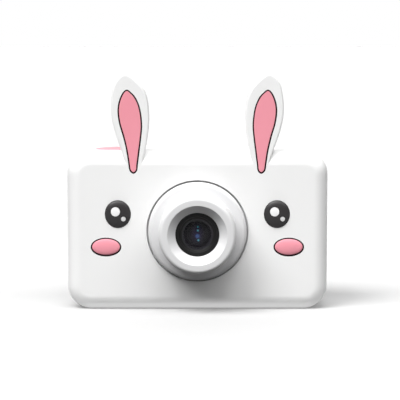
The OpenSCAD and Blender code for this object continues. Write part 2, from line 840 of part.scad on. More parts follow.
// Quarter round between a side and a front, for a turned profile
function rim(r, d, round, n = 4) = [
    for (i = [0:n]) [r - round + round * sin(90 * i / n), d + round - round * cos(90 * i / n)]
];

module lens_barrel() {
    color(WHITE) difference() {
        turned([
            [opening_r, -lens_out],
            each rim(barrel_r, -lens_out, edge_round),
            [barrel_r, -flange_out],
            each rim(flange_r, -flange_out, edge_round),
            [flange_r, hard_d0],
            [cavity_r, hard_d0],
            [cavity_r, plate_d],
            [bezel_r, plate_d],
            [bezel_r, cone_d]
        ]);
        for (a = barrel_angles)
            rod(screw_ring * cos(a), lens_z + screw_ring * sin(a), -flange_out + barrel_pilot, hard_d0 + CUT,
                small_r);
    }
}

module barrel_screws() {
    color(STEEL) for (a = barrel_angles)
        small_screw(screw_ring * cos(a), lens_z + screw_ring * sin(a), in_d0,
            -flange_out + barrel_pilot + thread_end);
}

module lens_bezel() {
    front = cone_d + bezel_step;
    chamfer = 0.5;
    color(CHARCOAL) turned([
        [view_r + chamfer, front], [bezel_r, front], [bezel_r, plate_d], [cavity_r, plate_d],
        [cavity_r, plate_d + bezel_flange_t], [glass_r, plate_d + bezel_flange_t],
        [glass_r, plate_d - glass_t], [view_r, plate_d - glass_t], [view_r, front + chamfer]
    ]);
}

module cover_glass() {
    color(GLASS) rod(0, lens_z, plate_d - glass_t, plate_d, glass_r);
}

module lens_cell() {
    color(CHARCOAL) turned([
        [cell_bores[0], cell_steps[0]], [cell_head_r, cell_steps[0]], [cell_head_r, plate_d + cell_head_t],
        [cell_r, plate_d + cell_head_t], [cell_r, cell_d1], [cell_bores[3], cell_d1],
        [cell_bores[3], cell_steps[3]], [cell_bores[2], cell_steps[3]], [cell_bores[2], cell_steps[2]],
        [cell_bores[1], cell_steps[2]], [cell_bores[1], cell_steps[1]], [cell_bores[0], cell_steps[1]]
    ]);
}

// Lens element that rests on a shoulder of the cell; its front bulges by its crown
module element(i) {
    crown = element_crowns[i];
    back = cell_steps[i + 1];
    r = cell_bores[i];
    edge = back - element_t + crown;
    n = 6;
    color(GLASS) turned([
        for (k = [0:n]) [r * k / n, edge - crown * (1 - (k / n) * (k / n))],
        [r, back], [0, back]
    ]);
}
module front_element() { element(0); }
module middle_element() { element(1); }
module rear_element() { element(2); }

module lens_holder() {
    ledge = cell_d1 + filter_t;
    wide = cell_r - holder_lip;
    tight = cell_r - filter_ledge;
    color(CHARCOAL) turned([
        [cell_r, holder_d0], [holder_r, holder_d0], [holder_r, sensor_d], [wide, sensor_d],
        [wide, ledge + filter_lip_t], [tight, ledge + filter_lip_t], [tight, ledge], [cell_r, ledge]
    ]);
}

module ir_filter() {
    color([0.55, 0.75, 0.75]) rod(0, lens_z, cell_d1, cell_d1 + filter_t, cell_r);
}

module image_sensor() {
    half = sensor_w / 2;
    color([0.25, 0.22, 0.35]) block(-half, half, lens_z - half, lens_z + half, sensor_d - sensor_t, sensor_d);
}

module sensor_board() {
    color(GREEN) difference() {
        plate(-sensor_board_w / 2, sensor_board_w / 2, lens_z - sensor_board_h / 2, lens_z + sensor_board_h / 2,
            sensor_board_r, sensor_d, sensor_d + board_t);
        for (x = [-sensor_post_x, sensor_post_x])
            rod(x, lens_z, sensor_d - CUT, sensor_d + board_t + CUT, small_r);
    }
}

module sensor_screws() {
    color(STEEL) for (x = [-sensor_post_x, sensor_post_x])
        small_screw(x, lens_z, sensor_d + board_t, hard_d0 + thread_end);
}

module sensor_ribbon() {
    start = sensor_d + board_t;
    end = board_d0 - connector_t;
    z = sensor_ribbon_z;
    dip = 3;
    color(COPPER) ribbon(-sensor_ribbon_w / 2, sensor_ribbon_w / 2, [
        [start, z], [start + dip, z], [start + 5, z - dip], [end - 5, z - dip], [end - 2, z], [end, z]
    ], sensor_ribbon_t);
}

// ---------- Boards ----------

module main_board() {
    color(GREEN) difference() {
        plate(-board_x, board_x, board_z0, board_z1, 1, board_d0, board_d1);
        for (side = [-1, 1]) {
            x0 = side > 0 ? notch_x : -board_x - CUT;
            x1 = side > 0 ? board_x + CUT : -notch_x;
            block(x0, x1, board_z0 - CUT, boss_z0 + boss_r + notch, board_d0 - CUT, board_d1 + CUT);
            block(x0, x1, boss_z1 - boss_r - notch, board_z1 + CUT, board_d0 - CUT, board_d1 + CUT);
        }
        for (x = post_x, z = post_z) rod(x, z, board_d0 - CUT, board_d1 + CUT, small_r);
    }
}

// Chips and connectors on both faces of the main board
module board_chips() {
    room = 1;
    half_h = 1;
    color(CHARCOAL) for (c = CHIPS)
        block(c[0], c[1], lens_z + c[2], lens_z + c[3], board_d0 - c[4], board_d0);
    color(WHITE) {
        block(-sensor_ribbon_w / 2 - room, sensor_ribbon_w / 2 + room, sensor_ribbon_z - 1.5 * half_h,
            sensor_ribbon_z + 1.5 * half_h, board_d0 - connector_t, board_d0);
        block(BATTERY_PLUG[0] - WIRE_PITCH - 2.2 * half_h, BATTERY_PLUG[0] + 2 * half_h,
            BATTERY_PLUG[2] - 1.3 * half_h, BATTERY_PLUG[2] + 1.3 * half_h, BATTERY_PLUG[1], board_d0);
        block(SPEAKER_PLUG[0], SPEAKER_PLUG[0] + 2.6 * half_h, SPEAKER_PLUG[2] - half_h,
            SPEAKER_PLUG[2] + WIRE_PITCH + half_h, board_d1, board_d1 + 1.4 * half_h);
        block(display_ribbon_x[0] - room, display_ribbon_x[1] + room, display_ribbon_z - half_h,
            display_ribbon_z + half_h, board_d1, board_d1 + connector_t);
        block(button_ribbon_x[0] - room, button_ribbon_x[1] + room, button_board_z - half_h,
            button_board_z + half_h, board_d0 - connector_t, board_d0);
    }
}

module board_screws() {
    color(STEEL) for (x = post_x, z = post_z) small_screw(x, z, board_d0, panel_d - 2 * thread_end);
}

module battery_foam() {
    color([0.25, 0.25, 0.26]) block(battery_x0 + foam_in, battery_x0 + battery_w - foam_in,
        lens_z - battery_h / 2 + foam_in, lens_z + battery_h / 2 - foam_in, in_d0, battery_d0);
}

module battery() {
    color([0.75, 0.76, 0.78]) plate(battery_x0, battery_x0 + battery_w, lens_z - battery_h / 2,
        lens_z + battery_h / 2, battery_corner, battery_d0, battery_d0 + battery_t);
}

module battery_lead() {
    for (i = [0, 1]) color(i == 0 ? "firebrick" : "black")
        wire([for (p = BATTERY_ROUTE) p - [i * WIRE_PITCH, 0, 0]], wire_r, [1, 0, 0]);
}

module speaker() {
    color(CHARCOAL) difference() {
        rod(speaker_x, speaker_z, well_d - speaker_t, well_d, speaker_r);
        rod(speaker_x, speaker_z, well_d - speaker_dish, well_d + CUT, speaker_r - speaker_rim);
    }
}

module speaker_lead() {
    for (i = [0, 1]) color(i == 0 ? "firebrick" : "black")
        wire([for (p = SPEAKER_ROUTE) p + [0, 0, i * WIRE_PITCH]], speaker_wire_r, [0, 0, 1]);
}

module microphone() {
    color(STEEL) rod(-board_x + 3 * mic_r, board_z0 + 5 * mic_r, board_d0 - mic_t, board_d0, mic_r);
}

// ---------- Screen ----------

module display_module() {
    back = well_d - gasket_t;
    color([0.2, 0.2, 0.22]) plate(window_x0 + module_margin, window_x1 - module_margin,
        window_z0 + module_up, window_z1 - module_up, module_r, back - display_t, back);
}

module display_gasket() {
    side = module_margin + gasket_in;
    up = module_up + gasket_in;
    color(CHARCOAL) difference() {
        plate(window_x0 + side, window_x1 - side, window_z0 + up, window_z1 - up, module_r, well_d - gasket_t,
            well_d);
        plate(window_x0 + window_border, window_x1 - window_border, window_z0 + window_border,
            window_z1 - window_border, module_r, well_d - gasket_t - CUT, well_d + CUT);
    }
}

module display_window() {
    color([0.08, 0.08, 0.1]) plate(window_x0, window_x1, window_z0, window_z1, window_r - window_fit,
        panel_d - window_t, panel_d);
}

module display_ribbon() {
    top = window_z0 + module_up;
    far = well_d - gasket_t - display_t + 2 * ribbon_t;
    near = board_d1 + connector_t;
    bottom = display_ribbon_z - ribbon_t / 2;
    x = display_ribbon_x;
    color(COPPER) block(x[0], x[1], bottom, top, far - ribbon_t, far);
    color(COPPER) block(x[0], x[1], bottom, bottom + ribbon_t, near, far - ribbon_t);
}

// ---------- Rear keys ----------

// Sector of the ring of direction keys, pointing along a direction, grown by a gap
module sector(dir, inner, outer, half_angle, gap) {
    angle = atan2(dir[1], dir[0]);
    reach = 2 * outer;
    translate([pad_x, pad_z]) rotate(angle) difference() {
        circle(r = outer + gap);
        circle(r = inner - gap);
        for (s = [-1, 1]) rotate(s * half_angle)
            translate([-reach, s > 0 ? gap : -reach - gap]) square([2 * reach, reach]);
        translate([-reach, -reach]) square([reach, 2 * reach]);
    }
}

// Stadium outline of the menu and play keys
module pill(x, gap) {
    w = pill_w + 2 * gap;
    h = pill_h + 2 * gap;
    polygon(round_rect(x - w / 2, x + w / 2, pill_z - h / 2, pill_z + h / 2, h / 2 - EPS, 8));
}

module key_holes() {
    prism(in_d1, panel_d + CUT) for (k = dir_keys) sector(k, pad_hole_r, pad_r, key_half_angle, key_gap);
    rod(pad_x, pad_z, in_d1, panel_d + CUT, ok_r + key_gap);
    prism(in_d1, panel_d + CUT) for (s = [-1, 1]) pill(pad_x + s * pill_pitch / 2, key_gap);
}

// Flange depths and stem shared by all rear keys
flange_d1 = well_d - key_rest_gap;
flange_d0 = flange_d1 - key_flange_t;
stem_d0 = board_d1 + switch_t - stem_in;
module stem(place) {
    rod(place[0], place[1], stem_d0, flange_d0 + EPS, stem_r);
}

module direction_key(i) {
    color(PINK) union() {
        prism(flange_d0, panel_d + key_proud) sector(dir_keys[i], pad_hole_r, pad_r, key_half_angle, 0);
        prism(flange_d0, flange_d1)
            sector(dir_keys[i], pad_hole_r, pad_r + key_flange, flange_half_angle, 0);
        stem(key_places[i]);
    }
}
module key_up() { direction_key(0); }
module key_down() { direction_key(1); }
module key_left() { direction_key(2); }
module key_right() { direction_key(3); }

module key_ok() {
    color(PINK) union() {
        rod(pad_x, pad_z, flange_d0, panel_d + key_proud, ok_r);
        rod(pad_x, pad_z, flange_d0, flange_d1, ok_r + key_flange);
        stem(key_places[4]);
    }
}

module pill_key(i, x) {
    color(PINK) union() {
        prism(flange_d0, panel_d + key_proud) pill(x, 0);
        prism(flange_d0, flange_d1) pill(x, key_flange);
        stem(key_places[i]);
    }
}
module key_menu() { pill_key(5, pad_x - pill_pitch / 2); }
module key_play() { pill_key(6, pad_x + pill_pitch / 2); }

module key_switches() {
    color(STEEL) for (p = key_places) difference() {
        block(p[0] - switch_w / 2, p[0] + switch_w / 2, p[1] - switch_w / 2, p[1] + switch_w / 2, board_d1,
            board_d1 + switch_t);
        rod(p[0], p[1], board_d1 + switch_t - switch_well, board_d1 + switch_t + CUT, stem_r + key_gap);
    }
}

// ---------- Top buttons ----------

// Button with a rounded cap, a flange below the wall and a stem into its switch
module top_button(x, r) {
    n = 5;
    z1 = in_z1 - key_rest_gap;
    z0 = z1 - button_flange_t;
    foot = button_board_z + board_t + top_switch_t - stem_in;
    color(PINK) translate([x, face_y + button_d, 0]) union() {
        rotate_extrude() polygon([
            [0, z0], [r + button_flange, z0], [r + button_flange, z1], [r, z1],
            for (i = [0:n])
                [r - cap_round + cap_round * cos(90 * i / n), button_top - cap_round + cap_round * sin(90 * i / n)],
            [0, button_top + cap_rise]
        ]);
        translate([0, 0, foot]) cylinder(r = top_stem_r, h = z0 + EPS - foot);
    }
}
module shutter_button() { top_button(-shutter_x, shutter_r); }
module power_button() { top_button(power_x, power_r); }

// Switch under a top button; the well for the stem leaves room for the button's travel
module top_switch(x, travel) {
    z0 = button_board_z + board_t;
    z1 = z0 + top_switch_t;
    half = top_switch_w / 2;
    color(STEEL) difference() {
        block(x - half, x + half, z0, z1, button_d - half, button_d + half);
        upright(x, button_d, z1 - stem_in - travel - well_gap, z1 + CUT, top_stem_r + key_gap);
    }
}
module shutter_switch() { top_switch(-shutter_x, shutter_travel); }
module power_switch() { top_switch(power_x, power_travel); }

module button_board() {
    color(GREEN) difference() {
        block(button_board_x0, button_board_x1, button_board_z, button_board_z + board_t, button_board_d0,
            button_board_d1);
        for (x = shelf_x) upright(x, button_d, button_board_z - CUT, button_board_z + board_t + CUT, small_r);
    }
}

module button_board_screws() {
    z = button_board_z + board_t;
    color(STEEL) for (x = shelf_x) {
        upright(x, button_d, z, z + small_head_t, small_head_r);
        upright(x, button_d, button_board_z - shelf_pilot + thread_end, z, small_r);
    }
}

module button_ribbon() {
    z = button_board_z;
    end = board_d0 - connector_t;
    color(COPPER)
        block(button_ribbon_x[0], button_ribbon_x[1], z - button_ribbon_t, z, button_d + ribbon_lap, end);
}

// ---------- Side ports ----------

module usb_port() {
    half = port_h / 2;
    d0 = board_d0 - port_w;
    color(STEEL) difference() {
        block(port_x0, port_x1, port_z - half, port_z + half, d0, board_d0);
        difference() {
            block(port_x0 + port_back, port_x1 + CUT, port_z - half + port_lip, port_z + half - port_lip,
                d0 + port_lip, board_d0 - port_lip);
            block(port_x0, port_x1 - port_back, port_z - tongue_half_h, port_z + tongue_half_h,
                port_d - tongue_half_t, port_d + tongue_half_t);
        }
    }
}

module port_door() {
    color(WHITE) difference() {
        union() {
            block(hard_x - door_t, hard_x, hinge_z, door_top, door_d0, door_d1);
            rod(hinge_x, hinge_z, door_d0, door_d1, knuckle_r);
        }
        rod(hinge_x, hinge_z, door_d0 - CUT, door_d1 + CUT, pin_r + pin_gap);
        block(hard_x - grip_deep, hard_x + CUT, door_top - grip_z[0], door_top - grip_z[1],
            door_mid - grip_half, door_mid + grip_half);
    }
}

module door_pin() {
    color(STEEL) rod(hinge_x, hinge_z, door_d0 - pin_in, door_d1 + pin_in, pin_r);
}

module card_socket() {
    cavity = card_w / 2 + slide_gap;
    color(STEEL) difference() {
        block(socket_x0, socket_x0 + socket_l, card_z - socket_w / 2, card_z + socket_w / 2,
            board_d0 - socket_t, board_d0);
        block(socket_x0 - CUT, card_x0 + card_l + slide_gap, card_z - cavity, card_z + cavity,
            card_d - card_t / 2 - card_gap, card_d + card_t / 2 + card_gap);
    }
}

module memory_card() {
    color(CHARCOAL) plate(card_x0, card_x0 + card_l, card_z - card_w / 2, card_z + card_w / 2, card_corner,
        card_d - card_t / 2, card_d + card_t / 2);
}

module lanyard_bar() {
    color(STEEL) upright(bar_x, bar_d, bar_z - pocket_h / 2 - bar_in, bar_z + pocket_h / 2 + bar_in, bar_r);
}

silicone_jacket();
ear_inlay_left();
ear_inlay_right();
cheek_pad_left();
cheek_pad_right();
eye_left();
eye_right();
eye_glints();
front_housing();
rear_housing();
case_screws();
lens_barrel();
barrel_screws();
lens_bezel();
cover_glass();
lens_cell();
front_element();
middle_element();
rear_element();
lens_holder();
ir_filter();
image_sensor();
sensor_board();
sensor_screws();
sensor_ribbon();
main_board();
board_chips();
board_screws();
battery();
battery_foam();
battery_lead();
speaker();
speaker_lead();
microphone();
display_module();
display_gasket();
display_window();
display_ribbon();
key_up();
key_down();
key_left();
key_right();
key_ok();
key_menu();
key_play();
key_switches();
shutter_button();
shutter_switch();
power_button();
power_switch();
button_board();
button_board_screws();
button_ribbon();
usb_port();
port_door();
door_pin();
card_socket();
memory_card();
lanyard_bar();
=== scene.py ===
"""Finished look of the kids camera: jacket, ears, lens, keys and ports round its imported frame."""

import json
import logging
import math
from collections.abc import Callable, Iterator, Sequence
from contextlib import contextmanager
from dataclasses import dataclass, field
from enum import Enum
from typing import Any

import bpy
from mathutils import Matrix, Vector

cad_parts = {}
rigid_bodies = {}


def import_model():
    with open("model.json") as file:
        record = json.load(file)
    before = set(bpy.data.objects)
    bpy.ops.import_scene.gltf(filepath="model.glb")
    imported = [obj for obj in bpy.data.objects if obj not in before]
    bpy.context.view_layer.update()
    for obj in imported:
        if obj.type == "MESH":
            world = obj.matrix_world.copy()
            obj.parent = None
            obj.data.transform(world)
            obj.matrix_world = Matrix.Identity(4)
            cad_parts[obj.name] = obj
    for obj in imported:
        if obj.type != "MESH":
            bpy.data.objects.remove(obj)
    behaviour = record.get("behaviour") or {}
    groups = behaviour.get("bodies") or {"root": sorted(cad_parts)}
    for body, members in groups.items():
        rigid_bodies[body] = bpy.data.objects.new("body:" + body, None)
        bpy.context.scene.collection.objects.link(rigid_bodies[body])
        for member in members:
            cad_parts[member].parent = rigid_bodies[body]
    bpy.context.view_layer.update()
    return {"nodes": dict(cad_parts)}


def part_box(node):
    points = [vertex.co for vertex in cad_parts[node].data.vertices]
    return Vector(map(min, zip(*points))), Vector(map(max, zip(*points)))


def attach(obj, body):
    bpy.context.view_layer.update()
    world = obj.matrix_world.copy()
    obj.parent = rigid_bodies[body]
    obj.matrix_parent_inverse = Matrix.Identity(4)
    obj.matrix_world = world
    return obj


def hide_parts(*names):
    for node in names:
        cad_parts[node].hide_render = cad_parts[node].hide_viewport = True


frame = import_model()

MM = 0.001
FACE_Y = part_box("silicone_jacket")[0].y / MM
LENS_Z = sum(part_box("lens_barrel")[i].z for i in (0, 1)) / 2 / MM
WELD = 2e-6  # points that lie this close count as one, in metres
SHARP = 0.6  # cosine below which two faces meet in a sharp edge
OVER = 1.0  # how far a cutting shape reaches past what it cuts, in millimetres
CORNER_STEPS, EDGE_STEPS, RIM_STEPS, SOFT_STEPS = 14, 10, 3, 2
SOFT_ANGLE = 40.0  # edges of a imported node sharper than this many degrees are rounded
DRIFT = 14.0  # size of the slow drift of colour and gloss, in millimetres
log = logging.getLogger("camera")

Pair = tuple[float, float]
Colour = tuple[float, float, float]
Piece = bpy.types.Object


class Pick(Enum):
    """Select modes of edit mode."""

    VERTS = (True, False, False)
    EDGES = (False, True, False)
    FACES = (False, False, True)


class Join(Enum):
    """Ways to combine two closed shapes."""

    ADD = "UNION"
    CUT = "DIFFERENCE"
    COMMON = "INTERSECT"


class Pattern(Enum):
    """Surface patterns of the finishes."""

    GRAIN = "fine moulded grain"
    BRUSHED = "fine lines along the width"
    TRACKS = "copper tracks under solder mask"
    STRIPES = "parallel conductors"
    RINGS = "turned rings about the lens axis"
    CELLS = "open cells"


# ---------- Modelling bench ----------


def at(x: float, depth: float, z: float) -> Vector:
    """A place in metres, from X, the depth behind the jacket's face and Z in millimetres."""
    return Vector((x, FACE_Y + depth, z)) * MM


class Bench:
    """The modelling bench: one piece at a time is taken, edited and finished."""

    @staticmethod
    def take(*pieces: Piece) -> None:
        """Select only these pieces, the first as the active one."""
        bpy.ops.object.select_all(action="DESELECT")
        for piece in pieces:
            piece.select_set(True)
        bpy.context.view_layer.objects.active = pieces[0]

    @staticmethod
    @contextmanager
    def editing(piece: Piece, pick: Pick = Pick.VERTS) -> Iterator[None]:
        """Open a piece in edit mode and close it again.

        Args:
            piece: The piece to edit.
            pick: The select mode to edit in.
        """
        Bench.take(piece)
        bpy.context.tool_settings.mesh_select_mode = pick.value
        bpy.ops.object.mode_set(mode="EDIT")
        try:
            yield
        finally:
            bpy.ops.object.mode_set(mode="OBJECT")

    @staticmethod
    def settle(piece: Piece, name: str) -> Piece:
        """Put a new primitive's place and scale into its mesh and name it."""
        Bench.take(piece)
        bpy.ops.object.transform_apply(location=True, rotation=True, scale=True)
        piece.name = piece.data.name = name
        return piece

    @staticmethod
    def mark(piece: Piece, test: Callable[[bpy.types.MeshEdge, Vector, Vector], bool]) -> None:
        """Select only the edges that pass a test.

        Args:
            piece: The piece, in object mode.
            test: Test of an edge and its two ends.
        """
        mesh = piece.data
        for item in (*mesh.vertices, *mesh.edges, *mesh.polygons):
            item.select = False
        for edge in mesh.edges:
            edge.select = test(edge, *(mesh.vertices[i].co for i in edge.vertices))

    @staticmethod
    def mark_rims(piece: Piece, axis: int, value: float) -> None:
        """Select the sharp edges that lie in a plane, such as the rims of its holes.

        Args:
            piece: The piece, in object mode.
            axis: 0, 1 or 2 for the plane's normal.
            value: The plane's place along it, in metres.
        """
        sides: dict[tuple[int, int], list[Vector]] = {}
        for face in piece.data.polygons:
            for key in face.edge_keys:
                sides.setdefault(key, []).append(face.normal)

        def is_rim(edge: bpy.types.MeshEdge, a: Vector, b: Vector) -> bool:
            """Whether an edge lies in the plane between two faces that meet sharply."""
            normals = sides.get(tuple(sorted(edge.vertices)), [])
            flat = abs(a[axis] - value) < WELD and abs(b[axis] - value) < WELD
            return flat and len(normals) == 2 and normals[0].dot(normals[1]) < SHARP

        Bench.mark(piece, is_rim)

    @staticmethod
    def bevel_marked(piece: Piece, size: float, segments: int) -> None:
        """Round the marked edges by a size in millimetres."""
        with Bench.editing(piece, Pick.EDGES):
            bpy.ops.mesh.bevel(offset=size * MM, offset_type="OFFSET", segments=segments, profile=0.5,
                               affect="EDGES", clamp_overlap=False)

    @staticmethod
    def round_rims(piece: Piece, axis: int, value: float, size: float, segments: int = RIM_STEPS) -> None:
        """Round the sharp edges that lie in a plane.

        Args:
            piece: The piece, in object mode.
            axis: 0, 1 or 2 for the plane's normal.
            value: The plane's place along it, in metres.
            size: Size of the rounding in millimetres.
            segments: Steps of the rounding.
        """
        Bench.mark_rims(piece, axis, value)
        Bench.bevel_marked(piece, size, segments)

    @staticmethod
    def line(name: str, points: Sequence[Vector], closed: bool = False) -> Piece:
        """Draw a line of edges from point to point.

        Args:
            name: Name of the new piece.
            points: Its points in metres.
            closed: Whether the last point joins the first.

        Returns:
            The new piece, with its last point selected.
        """
        bpy.ops.object.select_all(action="DESELECT")
        bpy.ops.mesh.primitive_plane_add(size=MM)
        piece = Bench.settle(bpy.context.active_object, name)
        with Bench.editing(piece):
            bpy.ops.mesh.select_all(action="SELECT")
            bpy.ops.mesh.merge(type="CENTER")
            bpy.ops.transform.translate(value=points[0])
            for a, b in zip(points, points[1:]):
                bpy.ops.mesh.extrude_vertices_move(TRANSFORM_OT_translate={"value": b - a})
            if closed:
                bpy.ops.mesh.select_all(action="SELECT")
                bpy.ops.mesh.edge_face_add()
        return piece

    @staticmethod
    def heal(piece: Piece) -> Piece:
        """Merge doubles and turn all faces outward."""
        with Bench.editing(piece):
            bpy.ops.mesh.select_all(action="SELECT")
            bpy.ops.mesh.remove_doubles(threshold=WELD)
            bpy.ops.mesh.normals_make_consistent(inside=False)
        return piece

    @staticmethod
    def slab(name: str, outline: Sequence[Pair], depth0: float, depth1: float) -> Piece:
        """A plate behind an outline of X and Z, between two depths.

        Args:
            name: Name of the new piece.
            outline: Closed outline in millimetres.
            depth0: Depth of its front.
            depth1: Depth of its back.

        Returns:
            The closed plate.
        """
        piece = Bench.line(name, [at(x, depth0, z) for x, z in outline], closed=True)
        with Bench.editing(piece, Pick.FACES):
            bpy.ops.mesh.select_all(action="SELECT")
            bpy.ops.mesh.extrude_region_move(TRANSFORM_OT_translate={"value": (0, (depth1 - depth0) * MM, 0)})
        return Bench.heal(piece)

    @staticmethod
    def turned(name: str, profile: Sequence[Pair], centre: Vector, upright: bool = False,
               steps: int = 96, oval: float = 1) -> Piece:
        """A turned piece, spun from its profile.

        Args:
            name: Name of the new piece.
            profile: Closed or axis-to-axis profile of radius and height in millimetres.
            centre: Point on the axis where the height is nought.
            upright: Whether the axis is Z; otherwise it is the depth.
            steps: Steps round the axis.
            oval: Height of the piece as a share of its width, for an oval pad.

        Returns:
            The closed piece.
        """
        out = Vector((1, 0, 0))
        along = Vector((0, 0, 1)) if upright else Vector((0, 1, 0))
        piece = Bench.line(name, [centre + (out * r + along * h) * MM for r, h in profile])
        with Bench.editing(piece):
            bpy.ops.mesh.select_all(action="SELECT")
            bpy.ops.mesh.spin(steps=steps, angle=math.tau, center=centre, axis=along)
        Bench.heal(piece)
        if oval != 1:
            with Bench.editing(piece):
                bpy.ops.mesh.select_all(action="SELECT")
                bpy.ops.transform.resize(value=(1, 1, oval), center_override=centre)
        return piece

    @staticmethod
    def ring(name: str, radii: Pair, ends: Pair, centre: Vector, upright: bool = False,
             steps: int = 48) -> Piece:
        """A plain ring, or a disc where its inner radius is nought.

        Args:
            name: Name of the new piece.
            radii: Its inner and outer radius in millimetres.
            ends: Where it starts and ends along the axis.
            centre: Point on the axis where the height is nought.
            upright: Whether the axis is Z; otherwise it is the depth.
            steps: Steps round the axis.

        Returns:
            The closed piece.
        """
        (r0, r1), (h0, h1) = radii, ends
        corners = [(r0, h0), (r1, h0), (r1, h1), (r0, h1)]
        return Bench.turned(name, corners + corners[:1] if r0 else corners, centre, upright, steps)

    @staticmethod
    def block(name: str, low: Vector, high: Vector) -> Piece:
        """A box between two corners."""
        bpy.ops.object.select_all(action="DESELECT")
        bpy.ops.mesh.primitive_cube_add(size=1, location=(low + high) / 2, scale=high - low)
        return Bench.settle(bpy.context.active_object, name)

    @staticmethod
    def soft_box(name: str, low: Vector, high: Vector, corner: float, front: float, back: float) -> Piece:
        """A box with round corners seen from the front and rounded front and rear edges.

        Args:
            name: Name of the new piece.
            low: Its lowest corner.
            high: Its highest corner.
            corner: Radius of the four corners in millimetres.
            front: Rounding of the front edge.
            back: Rounding of the rear edge.

        Returns:
            The closed box.
        """
        piece = Bench.block(name, low, high)
        Bench.mark(piece, lambda edge, a, b: abs(a.y - b.y) > MM)
        Bench.bevel_marked(piece, corner, CORNER_STEPS)
        for y, size in ((low.y, front), (high.y, back)):
            Bench.mark(piece, lambda edge, a, b, y=y: abs(a.y - y) < WELD and abs(b.y - y) < WELD)
            Bench.bevel_marked(piece, size, EDGE_STEPS)
        return Bench.heal(piece)

    @staticmethod
    def combine(piece: Piece, tool: Piece, how: Join = Join.CUT) -> Piece:
        """Combine a piece with a tool shape, which is used up.

        Args:
            piece: The piece that stays.
            tool: The shape that is added, cut away or kept in common.
            how: Which of these.

        Returns:
            The piece.
        """
        change = piece.modifiers.new(how.name.lower(), "BOOLEAN")
        change.operation = how.value
        change.solver = "EXACT"
        change.object = tool
        change.material_mode = "TRANSFER"
        Bench.take(piece)
        bpy.ops.object.modifier_apply(modifier=change.name)
        bpy.data.objects.remove(tool, do_unlink=True)
        return piece

    @staticmethod
    def polish(piece: Piece, angle: float = 32) -> Piece:
        """Shade a piece smooth up to an angle, with its large faces kept flat."""
        Bench.take(piece)
        bpy.ops.object.shade_smooth_by_angle(angle=math.radians(angle))
        even = piece.modifiers.new("even", "WEIGHTED_NORMAL")
        even.keep_sharp = True
        bpy.ops.object.modifier_apply(modifier=even.name)
        return piece

    @staticmethod
    def softened(node: str, size: float) -> Piece:
        """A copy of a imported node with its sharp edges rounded.

        Args:
            node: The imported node.
            size: Rounding in millimetres.

        Returns:
            The new piece, which stands for the node.
        """
        piece = bpy.data.objects.new(node + "_part", frame["nodes"][node].data.copy())
        bpy.context.scene.collection.objects.link(piece)
        piece.data.materials.clear()
        with Bench.editing(piece):
            bpy.ops.mesh.select_all(action="SELECT")
            bpy.ops.mesh.customdata_custom_splitnormals_clear()
            bpy.ops.mesh.remove_doubles(threshold=WELD)
            bpy.ops.mesh.dissolve_limited(angle_limit=math.radians(1))
        if size:
            edge = piece.modifiers.new("edge", "BEVEL")
            edge.width = size * MM
            edge.segments = SOFT_STEPS
            edge.limit_method = "ANGLE"
            edge.angle_limit = math.radians(SOFT_ANGLE)
            edge.use_clamp_overlap = True
            Bench.take(piece)
            bpy.ops.object.modifier_apply(modifier=edge.name)
        return Bench.polish(piece)


def paint(piece: Piece, *materials: bpy.types.Material) -> Piece:
    """Give a piece its materials, in the order of its slots."""
    piece.data.materials.clear()
    for material in materials:
        piece.data.materials.append(material)
    return piece


def mount(piece: Piece, body: str, slot: str, *nodes: str) -> Piece:
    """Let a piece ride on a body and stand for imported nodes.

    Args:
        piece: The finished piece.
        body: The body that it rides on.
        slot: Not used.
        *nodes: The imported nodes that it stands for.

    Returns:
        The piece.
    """
    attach(piece, body)
    if nodes:
        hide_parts(*nodes)
    log.info("%s rides on %s and stands for %s", piece.name, body, ", ".join(nodes) or "no node")
    return piece


def complete(piece: Piece, finish: Any, slot: str, node: str, angle: float = 32) -> Piece:
    """Smooth a piece of one finish and mount it on the camera.

    Args:
        piece: The finished shape.
        finish: Its finish.
        slot: The record's material slot.
        node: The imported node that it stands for.
        angle: Edges sharper than this stay sharp, in degrees.

    Returns:
        The piece.
    """
    paint(Bench.polish(piece, angle), Shelf.of(finish))
    return mount(piece, "camera", slot, node)


# ---------- Outlines and profiles ----------


def smooth_loop(points: Sequence[Pair], steps: int) -> list[Pair]:
    """A smooth closed curve through control points.

    Args:
        points: The control points.
        steps: Points of the curve for each control point.

    Returns:
        The curve's points.
    """
    count, curve = len(points), []
    for i in range(count):
        p0, p1, p2, p3 = (points[(i + k) % count] for k in (-1, 0, 1, 2))
        for j in range(steps):
            t = j / steps
            curve.append(tuple(
                (2 * p1[k] + (p2[k] - p0[k]) * t + (2 * p0[k] - 5 * p1[k] + 4 * p2[k] - p3[k]) * t * t
                 + (3 * p1[k] - p0[k] - 3 * p2[k] + p3[k]) * t ** 3) / 2 for k in (0, 1)))
    return curve


def inset_loop(points: Sequence[Pair], gap: float) -> list[Pair]:
    """A closed curve moved sideways by a gap, inward where it runs against the clock."""
    count, moved = len(points), []
    for i in range(count):
        dx = points[(i + 1) % count][0] - points[i - 1][0]
        dz = points[(i + 1) % count][1] - points[i - 1][1]
        size = math.hypot(dx, dz)
        moved.append((points[i][0] - gap * dz / size, points[i][1] + gap * dx / size))
    return moved


def arc(cx: float, cz: float, radius: float, start: float, end: float, steps: int) -> list[Pair]:
    """Points of an arc.

    Args:
        cx: Its centre's first coordinate.
        cz: Its centre's second coordinate.
        radius: Its radius.
        start: Its first angle in degrees.
        end: Its last angle.
        steps: Number of steps.

    Returns:
        The points, both ends included.
    """
    angles = [math.radians(start + (end - start) * i / steps) for i in range(steps + 1)]
    return [(cx + radius * math.cos(a), cz + radius * math.sin(a)) for a in angles]


